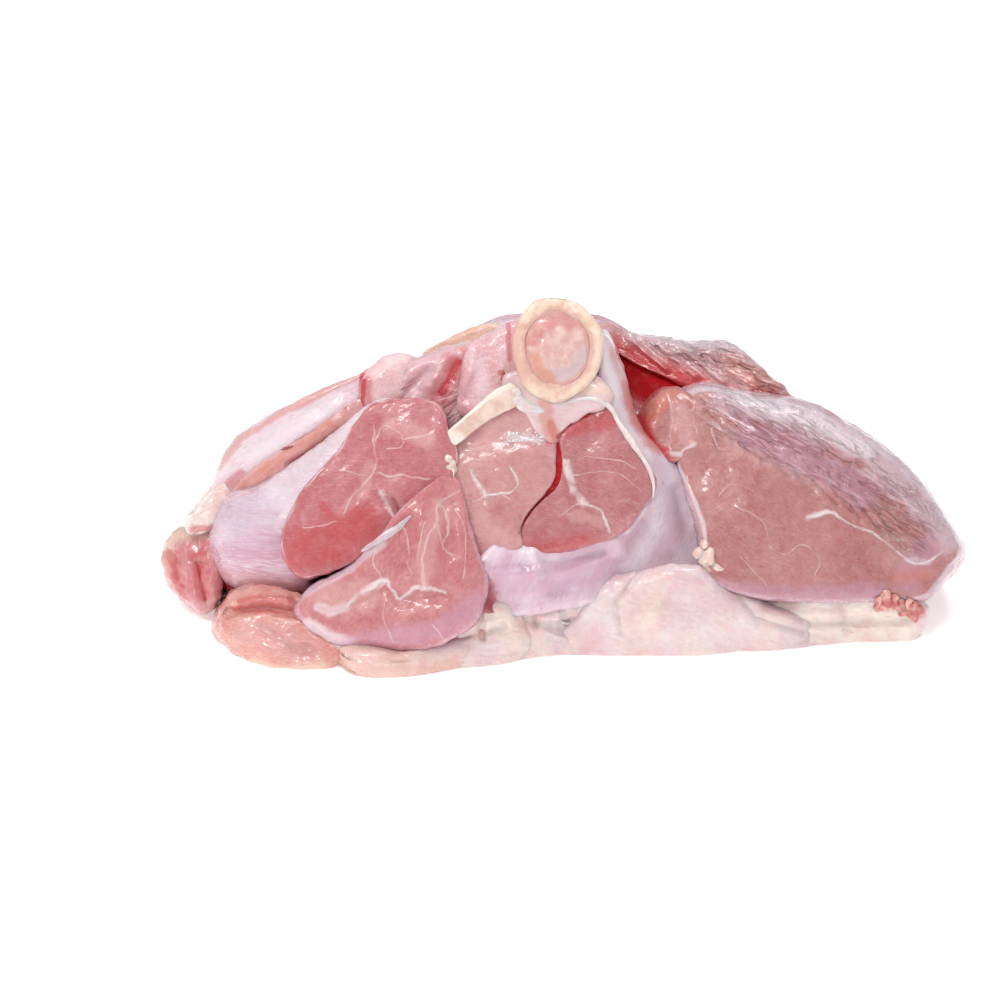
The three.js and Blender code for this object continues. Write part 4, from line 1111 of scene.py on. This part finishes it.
fascia = soft_material("fascia", (240, 214, 212), (252, 238, 236))
silver = soft_material("silver", (206, 184, 192), (228, 210, 216))
soft_fat = soft_material("soft_fat", (234, 198, 188), (248, 226, 216))
torn_meat = soft_material("torn_meat", (204, 92, 92), (240, 190, 180))
strand("ribbon", [(-2, 72), (4, 74.8), (9, 75.6), (14, 74.8), *RIBBON[1:]], 1.1,
    ["valley", "centre_right", "collar"], fascia, seed=400)
strand("tendon", [(-18.4, 80.4), (-17.3, 75.3), (-13.2, 71.6), (-6.9, 70.1)], 2.1,
    ["collar", "blade_bone", "centre_left"], fascia, seed=410)
strand("seam", [(-75.4, 18.2), (-68.2, 22.6), (-60.8, 27.6), (-56.2, 32)], 1.1, ["eye", "fan"], silver,
    rise=0.2, seed=430)
scraps("nub", [(-41.6, 49.8, 3.0, -0.5), (-42.7, 52.2, 2.2, -0.3), (-40.9, 47.6, 1.8, -0.2)],
    ["eye", "centre_left"], soft_fat, seed=450)
FLECKS = [(-23 + 0.45 * k, 60.2 + 2.4 * math.sin(5 * k), 0.3 + 0.45 * math.sin(3 * k) ** 4, 0.05)
          for k in range(36)]
scraps("flecks", FLECKS, ["centre_left"], fascia, seed=460)
scraps("beads", [(-22.6 + 1.5 * (k % 3), 85 - 1.9 * (k // 3), 1.1, 0.5) for k in range(8)], ["neck"],
    torn_meat, seed=470)
scraps("edge_fat", [(54.8, 14.6, 4.4, -0.8), (51.6, 17.8, 2.6, -0.4), (57.8, 12.4, 2.2, -0.4),
    (52.8, 21, 1.6, -0.2)], ["rump", "valley"], soft_fat, seed=480)
TORN_SHREDS, TORN_START, TORN_SPACING, TORN_SEED = 9, (119, 2.6), (1.6, -0.4), 490
torn = np.random.default_rng(TORN_SEED)
for k in range(TORN_SHREDS):
    start = np.array(TORN_START) + k * np.array(TORN_SPACING) + torn.normal(size=2)
    bend = start + (torn.uniform(-2, 4), -2.6)
    end = start + (torn.uniform(-3, 8), -5 - 1.8 * (k % 3))
    strand("torn_edge_" + str(k), [start, bend, end], torn.uniform(1.8, 3.0), ["rump", "fat_right"],
           torn_meat, rise=-0.5, seed=TORN_SEED + 1 + k, steps=24)

# The pale floor, the soft light of a white room with three small lamps, and the camera square to the sawn
# face. The floor glows a little, as the floor of so bright a room does.
FLOOR_SIZE, FLOOR_SHADE, FLOOR_ROUGHNESS, FLOOR_GLOW = 6, (0.97, 0.97, 0.97, 1), 0.7, 0.42
ROOM_GLOW = 0.5
floor_mesh = bmesh.new()
bmesh.ops.create_grid(floor_mesh, x_segments=1, y_segments=1, size=FLOOR_SIZE / 2)
floor_data = mesh_data(floor_mesh, "floor")
floor = add_object("floor", floor_data)
floor_material = bpy.data.materials.new("floor")
floor_material.use_nodes = True
floor_shader = floor_material.node_tree.nodes["Principled BSDF"]
for key, value in {"Base Color": FLOOR_SHADE, "Roughness": FLOOR_ROUGHNESS,
                   "Emission Color": (1, 1, 1, 1), "Emission Strength": FLOOR_GLOW}.items():
    floor_shader.inputs[key].default_value = value
floor_data.materials.append(floor_material)

world = bpy.data.worlds.new("room")
world.use_nodes = True
world.node_tree.nodes["Background"].inputs["Color"].default_value = (1, 1, 1, 1)
world.node_tree.nodes["Background"].inputs["Strength"].default_value = ROOM_GLOW
bpy.context.scene.world = world
bpy.context.scene.view_settings.view_transform = "Standard"


def lamp(name, place, size, power, target=(0, 0, 0.05)):
    """A square lamp that shines from its place at the target, both in metres."""
    light = bpy.data.lights.new(name, "AREA")
    light.size = size
    light.energy = power
    holder = add_object(name, light)
    holder.location = place
    holder.rotation_euler = (Vector(target) - Vector(place)).to_track_quat("-Z", "Y").to_euler()


lamp("lamp_left", (-0.7, -0.6, 1.1), size=0.3, power=7.5)
lamp("lamp_top", (0.4, 0.1, 1.3), size=0.4, power=7)
lamp("lamp_glint", (-0.2, -0.8, 0.9), size=0.16, power=2.5)

CAMERA_DISTANCE = 1.4
VIEW_CENTRE = (-23.6, 37.5, 60)         # the place on the joint that the middle of the picture looks at
PICTURE_WIDTH = 0.375                   # in metres, at that place
SENSOR = 36
camera_data = bpy.data.cameras.new("camera")
camera_data.sensor_width = SENSOR
camera_data.lens = SENSOR * CAMERA_DISTANCE / PICTURE_WIDTH
camera = add_object("camera", camera_data)
facing = Vector((0, -COS, SIN))
camera.location = Vector(from_face(*map(float, VIEW_CENTRE))) + CAMERA_DISTANCE * facing
camera.rotation_euler = (-facing).to_track_quat("-Z", "Y").to_euler()
bpy.context.scene.camera = camera
